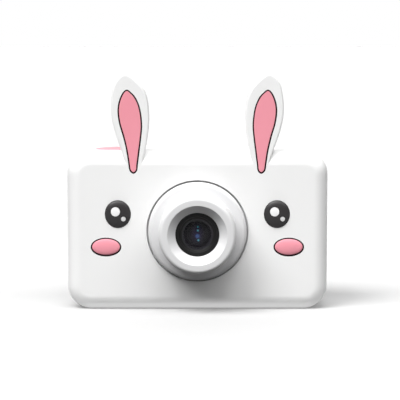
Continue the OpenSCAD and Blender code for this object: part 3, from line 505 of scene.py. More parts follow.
def round_rect(x0: float, x1: float, z0: float, z1: float, radius: float, steps: int = 8) -> list[Pair]:
    """A rectangle with round corners.

    Args:
        x0: Left side.
        x1: Right side.
        z0: Bottom.
        z1: Top.
        radius: Radius of the corners.
        steps: Steps of each corner.

    Returns:
        Its points.
    """
    corners = ((x1 - radius, z1 - radius, 0), (x0 + radius, z1 - radius, 90),
               (x0 + radius, z0 + radius, 180), (x1 - radius, z0 + radius, 270))
    return [p for x, z, a in corners for p in arc(x, z, radius, a, a + 90, steps)]


def eased(points: Sequence[tuple[float, ...]], steps: int = 5) -> list[Pair]:
    """A profile whose corners are rounded by their third number.

    Args:
        points: Points of radius, height and, where the corner is round, its radius.
        steps: Steps of each rounding.

    Returns:
        The profile's points.
    """
    made: list[Pair] = []
    for i, point in enumerate(points):
        here = Vector(point[:2])
        radius = point[2] if len(point) > 2 else 0
        if not radius:
            made.append(tuple(here))
            continue
        back = (Vector(points[i - 1][:2]) - here).normalized()
        ahead = (Vector(points[i + 1][:2]) - here).normalized()
        half = back.angle(ahead) / 2
        centre = here + (back + ahead).normalized() * (radius / math.sin(half))
        start, end = (here + way * (radius / math.tan(half)) - centre for way in (back, ahead))
        for k in range(steps + 1):
            made.append(tuple(centre + start.slerp(end, k / steps).normalized() * radius))
    return made


# ---------- Shader bench ----------


class Value:
    """A shader value. Arithmetic on it adds Math nodes."""

    def __init__(self, graph: "Graph", socket: bpy.types.NodeSocket) -> None:
        """Wrap an output socket of a graph."""
        self.graph, self.socket = graph, socket

    def math(self, operation: str, *others: "Value | float", swap: bool = False) -> "Value":
        """Add a Math node.

        Args:
            operation: The node's operation.
            *others: The other operands.
            swap: Whether this value comes second.

        Returns:
            The node's value.
        """
        operands = [self, *others]
        if swap:
            operands.reverse()
        node = self.graph.node("ShaderNodeMath", {"operation": operation}, dict(enumerate(operands)))
        return Value(self.graph, node.outputs[0])

    def __add__(self, other: "Value | float") -> "Value":
        """The sum."""
        return self.math("ADD", other)

    def __sub__(self, other: "Value | float") -> "Value":
        """The difference."""
        return self.math("SUBTRACT", other)

    def __rsub__(self, other: float) -> "Value":
        """The difference from a number."""
        return self.math("SUBTRACT", other, swap=True)

    def __mul__(self, other: "Value | float") -> "Value":
        """The product."""
        return self.math("MULTIPLY", other)

    def __abs__(self) -> "Value":
        """The size without its sign."""
        return self.math("ABSOLUTE")

    def __mod__(self, other: float) -> "Value":
        """The rest after whole steps, never negative."""
        return self.math("FLOORED_MODULO", other)

    def below(self, edge: float, soft: float) -> "Value":
        """A mask that is 1 under an edge and fades to 0 over a soft width."""
        node = self.graph.node("ShaderNodeMapRange", {"interpolation_type": "SMOOTHSTEP"}, {
            "Value": self, "From Min": edge - soft / 2, "From Max": edge + soft / 2,
            "To Min": 1.0, "To Max": 0.0})
        return Value(self.graph, node.outputs[0])


class Graph:
    """The node graph of one material, with a Principled shader on its output."""

    def __init__(self, name: str) -> None:
        """Start an empty graph."""
        self.material = bpy.data.materials.new(name)
        self.material.use_nodes = True
        self.tree = self.material.node_tree
        self.tree.nodes.clear()
        self.coords: bpy.types.NodeSocket | None = None

    def node(self, kind: str, settings: dict[str, Any] | None = None,
             inputs: dict[str | int, Any] | None = None) -> bpy.types.Node:
        """Add any node.

        Args:
            kind: The node's type.
            settings: Its settings, which are set first; ramp holds a colour ramp's stops.
            inputs: Values or links of its sockets.

        Returns:
            The node.
        """
        node = self.tree.nodes.new(kind)
        for name, setting in (settings or {}).items():
            if name == "ramp":
                stops = node.color_ramp.elements
                while len(stops) < len(setting):
                    stops.new(0.5)
                for stop, (place, colour) in zip(stops, setting):
                    stop.position, stop.color = place, (*colour, 1)
            else:
                setattr(node, name, setting)
        for name, given in (inputs or {}).items():
            given = given.socket if isinstance(given, Value) else given
            if isinstance(given, bpy.types.NodeSocket):
                self.tree.links.new(given, node.inputs[name])
            elif isinstance(given, tuple) and node.inputs[name].type == "RGBA":
                node.inputs[name].default_value = (*given, 1)
            else:
                node.inputs[name].default_value = given
        return node

    def place(self) -> bpy.types.NodeSocket:
        """Object coordinates, made once."""
        if self.coords is None:
            self.coords = self.node("ShaderNodeTexCoord").outputs["Object"]
        return self.coords

    def axes(self, centre: Vector | None = None) -> tuple[Value, Value, Value]:
        """X, Y and Z in millimetres from a centre in metres."""
        shift = tuple(-c for c in (centre or Vector()))
        moved = self.node("ShaderNodeVectorMath", {"operation": "ADD"}, {0: self.place(), 1: shift})
        sized = self.node("ShaderNodeVectorMath", {"operation": "SCALE"},
                          {0: moved.outputs[0], "Scale": 1 / MM})
        split = self.node("ShaderNodeSeparateXYZ", None, {0: sized.outputs[0]})
        return tuple(Value(self, split.outputs[i]) for i in range(3))

    def noise(self, size: float, detail: float = 2, stretch: tuple[float, float, float] = (1, 1, 1)) -> Value:
        """A noise from 0 to 1.

        Args:
            size: Size of its features in millimetres.
            detail: Its detail.
            stretch: Scale of the pattern along each axis.

        Returns:
            The noise value.
        """
        source = self.place()
        if stretch != (1, 1, 1):
            source = self.node("ShaderNodeMapping", None, {0: source, "Scale": stretch}).outputs[0]
        node = self.node("ShaderNodeTexNoise", None, {
            "Vector": source, "Scale": 1 / (size * MM), "Detail": detail, "Roughness": 0.55})
        return Value(self, node.outputs[0])

    def mix(self, share: "Value | float", first: Any, second: Any) -> bpy.types.NodeSocket:
        """A colour mixed from two, colours or links, by the second one's share."""
        node = self.node("ShaderNodeMix", {"data_type": "RGBA"}, {0: share, 6: first, 7: second})
        return node.outputs[2]

    def bump(self, height: Value, depth: float) -> bpy.types.NodeSocket:
        """A normal from a height of 0 to 1 that stands for a depth in millimetres."""
        node = self.node("ShaderNodeBump", None, {"Strength": 1.0, "Distance": depth * MM, "Height": height})
        return node.outputs[0]

    def surface(self, inputs: dict[str, Any]) -> bpy.types.Material:
        """Close the graph with a Principled shader.

        Args:
            inputs: Values and links of its sockets.

        Returns:
            The finished material.
        """
        shader = self.node("ShaderNodeBsdfPrincipled", None, inputs)
        self.node("ShaderNodeOutputMaterial", None, {0: shader.outputs[0]})
        return self.material


@dataclass(frozen=True)
class Finish:
    """A moulded, cast, plated or printed finish.

    Its base colour drifts towards the second one where the pattern says, and a fine noise varies its gloss.
    """

    name: str
    colour: Colour
    second: Colour
    roughness: Pair = (0.4, 0.5)
    pattern: Pattern = Pattern.GRAIN
    size: float = 0.3
    depth: float = 0.01
    metallic: float = 0.0
    sheen: float = 0.0
    specular: float = 0.5

    def mask(self, graph: Graph) -> Value:
        """The pattern as a value from 0 to 1."""
        if self.pattern is Pattern.BRUSHED:
            return graph.noise(self.size, 3, (0.05, 1, 1))
        if self.pattern is Pattern.CELLS:
            cells = graph.node("ShaderNodeTexVoronoi", None,
                               {"Vector": graph.place(), "Scale": 1 / (self.size * MM)})
            return Value(graph, cells.outputs[0])
        x, y, z = graph.axes(at(0, 0, LENS_Z))
        if self.pattern is Pattern.TRACKS:
            bend = graph.noise(6, 0) * 5
            lanes = (z + bend) % self.size
            ways = (x + bend) % (self.size * 2)
            return lanes.below(self.size * 0.3, 0.08).math("MAXIMUM", ways.below(self.size * 0.35, 0.08))
        if self.pattern is Pattern.STRIPES:
            return (x % self.size).below(self.size * 0.5, 0.05)
        if self.pattern is Pattern.RINGS:
            radius = (x * x + z * z).math("SQRT")
            return (radius % self.size).below(self.size * 0.5, self.size * 0.5)
        return graph.noise(self.size, 4)

    def make(self) -> bpy.types.Material:
        """Build the material."""
        graph = Graph(self.name)
        pattern = self.mask(graph)
        drift = graph.noise(DRIFT, 3)
        share = pattern if self.pattern is not Pattern.GRAIN else drift
        low, high = self.roughness
        gloss = pattern * ((high - low) * 0.5) + drift * ((high - low) * 0.5) + low
        return graph.surface({
            "Base Color": graph.mix(share, self.colour, self.second), "Roughness": gloss,
            "Metallic": self.metallic, "Sheen Weight": self.sheen, "Sheen Roughness": 0.5,
            "Specular IOR Level": self.specular,
            "Normal": graph.bump(pattern, self.depth)})


@dataclass(frozen=True)
class WireSleeve:
    """Two wires of a lead, red and black, parted at a plane."""

    name: str
    axis: int
    split: float

    def make(self) -> bpy.types.Material:
        """Build the material."""
        graph = Graph(self.name)
        side = graph.axes()[self.axis].below(self.split, 0.02)
        grain = graph.noise(0.4, 3)
        return graph.surface({
            "Base Color": graph.mix(side, (0.45, 0.02, 0.02), (0.012, 0.012, 0.012)),
            "Roughness": grain * 0.15 + 0.35, "Normal": graph.bump(grain, 0.02)})


@dataclass(frozen=True)
class ScreenWindow:
    """A clear window: black print round a darker, glossier viewing area."""

    name: str
    centre: Vector
    view: Pair

    def make(self) -> bpy.types.Material:
        """Build the material."""
        graph = Graph(self.name)
        x, _, z = graph.axes(self.centre)
        inside = abs(x).below(self.view[0] / 2, 0.2) * abs(z).below(self.view[1] / 2, 0.2)
        dust = graph.noise(0.6, 2)
        return graph.surface({
            "Base Color": graph.mix(inside, (0.004, 0.004, 0.005), (0.013, 0.015, 0.020)),
            "Roughness": dust * 0.04 + 0.05, "Coat Weight": 0.6, "Coat Roughness": 0.03,
            "Normal": graph.bump(graph.noise(9, 1), 0.004)})


@dataclass(frozen=True)
class CoverGlass:
    """Clear glass with a printed black border and a faint coating."""

    name: str
    clear: float

    def make(self) -> bpy.types.Material:
        """Build the material."""
        graph = Graph(self.name)
        x, _, z = graph.axes(at(0, 0, LENS_Z))
        radius = (x * x + z * z).math("SQRT")
        print_edge = 1 - radius.below(self.clear, 0.25)
        smear = graph.noise(2.5, 3)
        return graph.surface({
            "Base Color": graph.mix(smear, (0.006, 0.006, 0.008), (0.012, 0.010, 0.018)),
            "Roughness": smear * 0.05 + 0.02, "Alpha": print_edge * 0.72 + 0.26,
            "Specular IOR Level": 0.3})


@dataclass(frozen=True)
class CoatedLens:
    """A lens element whose coating shows a violet middle and faint rings, with a chain of small painted
    reflections that glow.
    """

    name: str
    # Painted reflections: place, size and colour of the small spots that stand in for lamp reflections in the
    # lens.
    glints: tuple[tuple[float, float, float, Colour], ...] = (
        (0.2, 2.7, 0.42, (0.02, 0.16, 0.20)),
        (0.2, 1.35, 0.46, (0.06, 0.26, 0.33)),
        (0.05, -0.75, 0.95, (0.05, 0.09, 0.24)),
        (0.4, -2.35, 0.48, (0.07, 0.30, 0.40)),
    )

    def make(self) -> bpy.types.Material:
        """Build the material."""
        graph = Graph(self.name)
        x, _, z = graph.axes(at(0, 0, LENS_Z))
        radius = (x * x + z * z).math("SQRT")
        middle = (x * x * 1.7 + z * z * 0.6).math("SQRT").below(2.6, 3.2)
        ring = abs(radius - 3.9).below(0.15, 0.25) * 0.5 + abs(radius - 4.7).below(0.1, 0.2) * 0.6
        colour = graph.mix(middle, (0.016, 0.016, 0.018), (0.030, 0.018, 0.062))
        colour = graph.mix(ring, colour, (0.035, 0.034, 0.040))
        reflection_glow = (0.0, 0.0, 0.0)
        # Each painted reflection is coloured into the base and also glows through the emission.
        for gx, gz, size, tint in self.glints:
            dx, dz = x - gx, z - gz
            reflection_spot = (dx * dx + dz * dz).math("SQRT").below(size * 0.75, size * 0.9)
            colour = graph.mix(reflection_spot, colour, tint)
            reflection_glow = graph.mix(reflection_spot, reflection_glow, tint)
        haze = graph.noise(1.5, 2)
        return graph.surface({
            "Base Color": colour, "Roughness": haze * 0.06 + 0.04, "Emission Color": reflection_glow,
            "Emission Strength": 1.1, "Specular IOR Level": 0.3})


@dataclass(frozen=True)
class FloorPaint:
    """Matt floor paint that throws less light back on the object than it shows."""

    name: str
    shown: float
    thrown: float

    def make(self) -> bpy.types.Material:
        """Build the material."""
        graph = Graph(self.name)
        bounced = Value(graph, graph.node("ShaderNodeLightPath").outputs["Is Diffuse Ray"])
        grain = graph.noise(4, 2) * 0.01
        shade = bounced * (self.thrown - self.shown) + self.shown + grain
        return graph.surface({"Base Color": graph.mix(shade, (0.0, 0.0, 0.0), (1.0, 1.0, 1.0)),
                              "Roughness": grain + 0.75, "Specular IOR Level": 0.2})


WHITE_SILICONE = Finish("white_silicone", (0.86, 0.86, 0.858), (0.835, 0.835, 0.83), (0.46, 0.56),
                        size=0.22, depth=0.006, sheen=0.08, specular=0.4)
PINK_SILICONE = Finish("pink_silicone", (0.91, 0.345, 0.415), (0.87, 0.31, 0.375), (0.46, 0.58),
                       size=0.22, depth=0.006, sheen=0.08, specular=0.4)
# Painted shade: dark maroon colour on the walls and floors of the pockets round the ear inlays, cheeks and
# eyes, standing in for the shadow in the gaps.
GAP_SHADE = Finish("groove_painted_shade", (0.040, 0.012, 0.016), (0.030, 0.009, 0.012), (0.7, 0.8), specular=0.1)
EYE_BLACK = Finish("eye_charcoal", (0.034, 0.032, 0.033), (0.026, 0.024, 0.025), (0.34, 0.46), size=0.25,
                   depth=0.004, specular=0.3)
# Painted shade: near-black colour for the walls of the grooves round the eye highlights, darker than the eye,
# standing in for the shadow in them.
EYE_GROOVE_SHADE = Finish("eye_groove_shade", (0.010, 0.009, 0.009), (0.006, 0.006, 0.006), (0.6, 0.7), size=0.25,
                    depth=0.004)
EYE_WHITE = Finish("eye_white", (0.88, 0.88, 0.88), (0.84, 0.84, 0.84), (0.28, 0.36), depth=0.004)
BARREL_WHITE = Finish("barrel_white", (0.73, 0.73, 0.735), (0.71, 0.71, 0.715), (0.30, 0.40), size=0.35,
                      depth=0.004, specular=0.4)
WHITE_PLASTIC = Finish("white_plastic", (0.87, 0.87, 0.872), (0.85, 0.85, 0.852), (0.24, 0.34), size=0.35,
                       depth=0.004)
PINK_PLASTIC = Finish("pink_plastic", (0.86, 0.33, 0.39), (0.83, 0.30, 0.355), (0.24, 0.34), size=0.35,
                      depth=0.004)
BLACK_PLASTIC = Finish("black_plastic", (0.010, 0.010, 0.010), (0.006, 0.006, 0.006), (0.40, 0.55),
                       Pattern.RINGS, 0.5, specular=0.2)
STEEL = Finish("screw_steel", (0.58, 0.58, 0.60), (0.42, 0.42, 0.45), (0.24, 0.42), Pattern.BRUSHED, 0.12,
               0.004, 1.0)
TIN = Finish("tin_steel", (0.66, 0.66, 0.66), (0.52, 0.52, 0.53), (0.28, 0.45), Pattern.BRUSHED, 0.2,
             0.004, 1.0)
BOARD = Finish("board_green", (0.012, 0.085, 0.045), (0.030, 0.17, 0.085), (0.28, 0.4), Pattern.TRACKS,
               2.2, 0.03)
CHIP = Finish("chip_epoxy", (0.030, 0.030, 0.032), (0.045, 0.045, 0.047), (0.5, 0.65), depth=0.015)
CARD = Finish("card_black", (0.018, 0.018, 0.020), (0.028, 0.028, 0.030), (0.36, 0.5), size=0.25,
              depth=0.008)
FILM = Finish("amber_film", (0.42, 0.17, 0.03), (0.55, 0.27, 0.06), (0.2, 0.32), Pattern.STRIPES, 0.8, 0.02)
FOIL = Finish("battery_foil", (0.62, 0.63, 0.65), (0.52, 0.53, 0.56), (0.3, 0.46), size=1.4, depth=0.05,
              metallic=0.9)
FOAM = Finish("foam", (0.030, 0.030, 0.030), (0.015, 0.015, 0.015), (0.85, 0.95), Pattern.CELLS, 0.5, 0.1)
CONE = Finish("speaker_cone", (0.020, 0.020, 0.020), (0.035, 0.034, 0.033), (0.55, 0.7), size=0.5,
              depth=0.04)
FILTER = Finish("filter_glass", (0.20, 0.42, 0.42), (0.16, 0.36, 0.38), (0.04, 0.1), size=2.0, depth=0.001)
SENSOR = Finish("sensor_die", (0.05, 0.04, 0.10), (0.08, 0.06, 0.14), (0.15, 0.25), Pattern.TRACKS, 0.3,
                0.002)
DISPLAY = Finish("display_back", (0.30, 0.30, 0.31), (0.24, 0.24, 0.25), (0.32, 0.45), Pattern.BRUSHED,
                 0.2, 0.004, 0.8)


class Shelf:
    """The finished materials, each made once."""

    made: dict[str, bpy.types.Material] = {}

    @classmethod
    def of(cls, finish: Any) -> bpy.types.Material:
        """The material of a finish."""
        if finish.name not in cls.made:
            cls.made[finish.name] = finish.make()
        return cls.made[finish.name]


# ---------- Studio ----------


@dataclass
class Studio:
    """Pale floor, soft light and the camera."""

    floor_side: float = 9.0
    floor_shades: Pair = (0.51, 0.03)
    lens: float = 153.2
    sensor: float = 36.0
    near: float = 0.01
    eye: tuple[float, float, float] = (1.0, -654.24, 110.38)
    look_down: float = 6.0
    sky: float = 0.04
    bounce: float = 0.02
    horizon: float = 0.15
    lights: tuple[tuple[str, float, float, float, float], ...] = (
        ("key_left", 3.4, 54.0, 50.0, 32.0), ("key_middle", 1.7, 58.0, 6.0, 30.0),
        ("key_right", 1.6, 54.0, -50.0, 44.0), ("back_light", 1.3, 42.0, 180.0, 60.0),
        ("low_fill", 2.2, -88.0, 0.0, 30.0))

    def build(self) -> None:
        """Set up the camera, the floor, the world and the lights."""
        scene = bpy.context.scene
        tilt = math.radians(90 - self.look_down)
        bpy.ops.object.camera_add(location=Vector(self.eye) * MM, rotation=(tilt, 0, 0))
        camera = bpy.context.active_object
        camera.data.lens = self.lens
        camera.data.sensor_width = self.sensor
        camera.data.clip_start = self.near
        scene.camera = camera
        scene.view_settings.view_transform = "Standard"
        bpy.ops.object.select_all(action="DESELECT")
        bpy.ops.mesh.primitive_plane_add(size=self.floor_side, location=(0, self.floor_side * 0.25, 0))
        floor = Bench.settle(bpy.context.active_object, "floor")
        paint(floor, Shelf.of(FloorPaint("floor_paint", *self.floor_shades)))
        floor.visible_shadow = False
        self.light_world()
        for light in self.lights:
            log.info("%s shines on the studio", self.sun(*light).name)

    def light_world(self) -> None:
        """A white backdrop whose light on the object is weaker than it looks, weakest from below."""
        world = bpy.data.worlds.new("studio")
        bpy.context.scene.world = world
        world.use_nodes = True
        tree = world.node_tree
        tree.nodes.clear()
        path, coords, split, height, seen, lit, mix, out = (
            tree.nodes.new("ShaderNode" + kind) for kind in (
                "LightPath", "TexCoord", "SeparateXYZ", "MapRange", "Background", "Background", "MixShader",
                "OutputWorld"))
        seen.inputs[0].default_value = lit.inputs[0].default_value = (1, 1, 1, 1)
        for i, value in enumerate((-self.horizon, self.horizon, self.bounce, self.sky), 1):
            height.inputs[i].default_value = value
        tree.links.new(coords.outputs["Generated"], split.inputs[0])
        tree.links.new(split.outputs["Z"], height.inputs[0])
        tree.links.new(height.outputs[0], lit.inputs[1])
        tree.links.new(path.outputs["Is Camera Ray"], mix.inputs[0])
        tree.links.new(lit.outputs[0], mix.inputs[1])
        tree.links.new(seen.outputs[0], mix.inputs[2])
        tree.links.new(mix.outputs[0], out.inputs[0])

    def sun(self, name: str, strength: float, elevation: float, left: float, spread: float) -> Piece:
        """A broad soft light from far away.

        Args:
            name: Name of the light.
            strength: Its strength.
            elevation: Its height above the horizon in degrees.
            left: How far it stands to the left of the front, in degrees.
            spread: Its width in degrees.

        Returns:
            The light.
        """
        e, a = math.radians(elevation), math.radians(left)
        toward = Vector((-math.sin(a) * math.cos(e), -math.cos(a) * math.cos(e), math.sin(e)))
        bpy.ops.object.light_add(type="SUN", location=toward)
        lamp = bpy.context.active_object
        lamp.name = name
        lamp.rotation_euler = toward.to_track_quat("Z", "Y").to_euler()
        lamp.data.energy = strength
        lamp.data.angle = math.radians(spread)
        return lamp

    @staticmethod
    def keep_fill_to(*pieces: Piece) -> None:
        """Let the light from below fall on these pieces only.

        Args:
            *pieces: The pieces that it lights.
        """
        group = bpy.data.collections.new("low_fill_pieces")
        for piece in pieces:
            group.objects.link(piece)
        bpy.data.objects["low_fill"].light_linking.receiver_collection = group


# ---------- Jacket and face ----------


EAR = ((0.20, -0.11), (0.31, 0.055), (0.455, 0.265), (0.54, 0.48), (0.525, 0.71), (0.41, 0.91), (0.16, 1.0),
       (-0.13, 0.91), (-0.37, 0.75), (-0.457, 0.525), (-0.447, 0.29), (-0.367, 0.03), (-0.31, -0.10),
       (-0.22, -0.22), (0.10, -0.22))
INLAY = ((0.123, 0.80), (0.01, 0.765), (-0.12, 0.69), (-0.23, 0.55), (-0.28, 0.35), (-0.252, 0.17),
         (-0.21, 0.01), (-0.165, -0.16), (-0.14, -0.25), (-0.045, -0.29), (0.06, -0.25), (0.095, -0.15),
         (0.145, 0.01), (0.23, 0.19), (0.33, 0.36), (0.372, 0.52), (0.335, 0.65), (0.235, 0.76))


@dataclass
class Face:
    """Where the ears and the pads of the face sit, in millimetres."""

    body_top: float = 61.0
    ear_x: float = 25.0
    ear_w: float = 14.4
    ear_h: float = 29.4
    eye_x: float = 30.4
    eye_rise: float = 6.5
    eye: Pair = (5.0, 5.36)
    eye_crown: float = 1.28
    eye_gap: float = 0.05
    cheek_x: float = 35.0
    cheek_drop: float = 6.2
    cheek: Pair = (5.86, 3.63)
    cheek_crown: float = 0.3
    pad_gap: float = 0.35
    pocket: float = 1.4
    pad_edge: float = 0.25
    glints: tuple[tuple[float, float, float], ...] = ((-0.9, 1.0, 1.87), (2.15, -1.8, 1.0))
    glint_gap: float = 0.13
    # Extra gap round the inlays and cheeks, which widens the dark line of painted shade round them.
    line: float = 0.2
    inlay_round: float = 0.15
    reach: float = 3.0
    dome_steps: int = 18

    def ear_outline(self, shape: Sequence[Pair], side: int, steps: int = 6, gap: float = 0) -> list[Pair]:
        """The outline of an ear or its inlay.

        Args:
            shape: Control points, outward and upward in units of the ear's size.
            side: -1 for the left ear, 1 for the right one.
            steps: Points for each control point.
            gap: How far the outline is moved inward.

        Returns:
            Points of X and Z in millimetres.
        """
        curve = [(self.ear_x + self.ear_w * u, self.body_top + self.ear_h * v)
                 for u, v in smooth_loop(shape, steps)]
        return [(side * x, z) for x, z in inset_loop(curve, gap)]

    def oval(self, x: float, z: float, half: Pair, steps: int = 96) -> list[Pair]:
        """An oval outline."""
        angles = [math.tau * i / steps for i in range(steps)]
        return [(x + half[0] * math.cos(a), z + half[1] * math.sin(a)) for a in angles]

    def dome(self, name: str, x: float, z: float, half: Pair, crown: float, base: float) -> Piece:
        """A domed oval pad.

        Args:
            name: Name of the new piece.
            x: Its centre's X.
            z: Its centre's Z.
            half: Its half width and half height.
            crown: How far it stands proud of the face.
            base: Depth of its flat back.

        Returns:
            The closed pad.
        """
        height = crown + self.pad_edge
        angles = [math.radians(90 * i / self.dome_steps) for i in range(self.dome_steps + 1)]
        curve = [(half[0] * math.cos(a), self.pad_edge - height * math.sin(a)) for a in angles]
        return Bench.turned(name, [(0, base), (half[0], base), *curve], at(x, 0, z), oval=half[1] / half[0])

    def build(self) -> None:
        """Make the inlays, cheeks and eyes with their highlights."""
        for side, word in ((-1, "left"), (1, "right")):
            self.inlay(side, word)
            self.cheek_pad(side, word)
            self.eye_pad(side, word)
        glints = [bpy.data.objects[f"glint_{word}_{i}"] for word in ("left", "right")
                  for i in range(len(self.glints))]
        Bench.take(*glints)
        bpy.ops.object.join()
        highlights = bpy.context.active_object
        highlights.name = highlights.data.name = "eye_highlights"
        complete(highlights, EYE_WHITE, "eye_white", "eye_glints")

    def inlay(self, side: int, word: str) -> None:
        """The pink inlay of one ear."""
        outline = self.ear_outline(INLAY, side, gap=self.pad_gap + self.line)
        piece = Bench.slab(f"ear_inlay_{word}_pad", outline, self.pad_gap / 2, self.pocket)
        Bench.round_rims(piece, 1, at(0, self.pad_gap / 2, 0).y, self.inlay_round)
        complete(piece, PINK_SILICONE, "pink_silicone", f"ear_inlay_{word}")

    def cheek_pad(self, side: int, word: str) -> None:
        """The pink cheek on one side."""
        half = tuple(size - self.pad_gap - self.line for size in self.cheek)
        piece = self.dome(f"cheek_{word}_pad", side * self.cheek_x, LENS_Z - self.cheek_drop, half,
                          self.cheek_crown, self.pocket)
        complete(piece, PINK_SILICONE, "pink_silicone", f"cheek_pad_{word}")

    def eye_pad(self, side: int, word: str) -> None:
        """One eye: a dark dome with a groove round each highlight, its walls coloured darker as painted
        shade.
        """
        x, z = side * self.eye_x, LENS_Z + self.eye_rise
        half = tuple(size - self.eye_gap for size in self.eye)
        piece = self.dome(f"eye_{word}_pad", x, z, half, self.eye_crown, self.pocket)
        paint(piece, Shelf.of(EYE_BLACK), Shelf.of(EYE_GROOVE_SHADE))
        for i, (dx, dz, radius) in enumerate(self.glints):
            place, ends = at(x + dx, 0, z + dz), (-self.reach, 0)
            # The hole's walls carry the darker painted shade into the groove.
            hole = Bench.ring("hole", (0, radius), ends, place)
            Bench.combine(piece, paint(hole, Shelf.of(EYE_GROOVE_SHADE)))
            disc = Bench.ring("disc", (0, radius - self.glint_gap), ends, place)
            glint = self.dome(f"glint_{word}_{i}", x, z, half, self.eye_crown, OVER)
            paint(glint, Shelf.of(EYE_WHITE))
            Bench.combine(glint, paint(disc, Shelf.of(EYE_WHITE)), Join.COMMON)
        Bench.polish(piece)
        mount(piece, "camera", "eye_black", f"eye_{word}")


@dataclass
class Jacket:
    """The soft jacket: a rounded shell with two ears, open at the back and at the ports."""

    face: Face
    half_width: float = 50.0
    height: float = 61.0
    depth: float = 30.0
    corner: float = 9.0
    front_round: float = 5.5
    back_round: float = 4.0
    wall: float = 2.2
    lip: float = 2.0
    lip_width: float = 6.5
    window_round: float = 4.0
    ear_thick: float = 5.0
    ear_round: float = 0.7
    ear_steps: int = 6
    port_round: float = 1.0
    lens_hole: float = 19.5
    top_holes: tuple[Pair, ...] = ((-31.4, 8.7), (26.0, 4.4))
    top_hole_depth: float = 15.0
    side_windows: tuple[tuple[int, float, float, float, float], ...] = (
        (1, 19.8, 39.2, 13.4, 26.0), (-1, 31.0, 49.0, 16.55, 24.55), (-1, 17.5, 28.5, 19.5, 26.5))
    rear_rim: float = 0.45
    hole_rim: float = 0.35

    def build(self) -> Piece:
        """Build the jacket and dress it."""
        low, high = at(-self.half_width, 0, 0), at(self.half_width, self.depth, self.height)
        body = Bench.soft_box("jacket", low, high, self.corner, self.front_round, self.back_round)
        soft, groove = Shelf.of(WHITE_SILICONE), Shelf.of(GAP_SHADE)
        paint(body, soft, groove)
        for side in (-1, 1):
            Bench.combine(body, self.ear(side), Join.ADD)
        for tool in self.hollows():
            Bench.combine(body, paint(tool, soft))
        # The pocket walls and floors take the dark painted shade of the gaps.
        for tool in self.pockets():
            Bench.combine(body, paint(tool, groove))
        self.ease_rims(body)
        Bench.polish(body)
        return mount(body, "camera", "white_silicone", "silicone_jacket")

    def ear(self, side: int) -> Piece:
        """One ear as a plate with round edges."""
        ear = Bench.slab("ear", self.face.ear_outline(EAR, side), 0, self.ear_thick)
        for depth in (0, self.ear_thick):
            Bench.round_rims(ear, 1, at(0, depth, 0).y, self.ear_round, self.ear_steps)
        return paint(ear, Shelf.of(WHITE_SILICONE))

    def hollows(self) -> Iterator[Piece]:
        """The cavity, the window in the back, and the holes of the lens, buttons and ports."""
        w, h, t, edge = self.half_width, self.height, self.wall, self.lip_width
        inner = self.depth - self.lip
        yield Bench.soft_box("cavity", at(t - w, t, t), at(w - t, inner, h - t), self.corner - t,
                             self.front_round - t, self.back_round - t)
        yield Bench.slab("window", round_rect(edge - w, w - edge, edge, h - edge, self.window_round),
                         inner - OVER, self.depth + OVER)
        yield Bench.ring("lens_hole", (0, self.lens_hole), (-OVER, t + OVER), at(0, 0, LENS_Z), steps=128)
        for x, radius in self.top_holes:
            yield Bench.ring("button_hole", (0, radius), (-t - OVER, OVER), at(x, self.top_hole_depth, h),
                             upright=True, steps=80)
        for side, z0, z1, depth0, depth1 in self.side_windows:
            ends = sorted((side * (w - t - OVER), side * (w + OVER)))
            tool = Bench.block("side_window", at(ends[0], depth0, z0), at(ends[1], depth1, z1))
            Bench.mark(tool, lambda edge, a, b: abs(a.x - b.x) > MM)
            Bench.bevel_marked(tool, self.port_round, 5)
            yield Bench.heal(tool)

    def pockets(self) -> Iterator[Piece]:
        """The pockets that the pads and inlays sit in, whose walls and floors carry the painted shade of the
        gaps.
        """
        face = self.face
        for side in (-1, 1):
            for name, outline in (
                    ("inlay_pocket", face.ear_outline(INLAY, side)),
                    ("eye_pocket", face.oval(side * face.eye_x, LENS_Z + face.eye_rise, face.eye)),
                    ("cheek_pocket", face.oval(side * face.cheek_x, LENS_Z - face.cheek_drop, face.cheek))):
                yield Bench.slab(name, outline, -OVER, face.pocket)

    def ease_rims(self, body: Piece) -> None:
        """Round the rims of the rear window, the button holes and the side windows."""
        side = self.half_width * MM
        for axis, value, size in ((1, at(0, self.depth, 0).y, self.rear_rim),
                                  (2, self.height * MM, self.hole_rim), (0, side, self.hole_rim),
                                  (0, -side, self.hole_rim)):
            Bench.round_rims(body, axis, value, size)


# ---------- Lens ----------


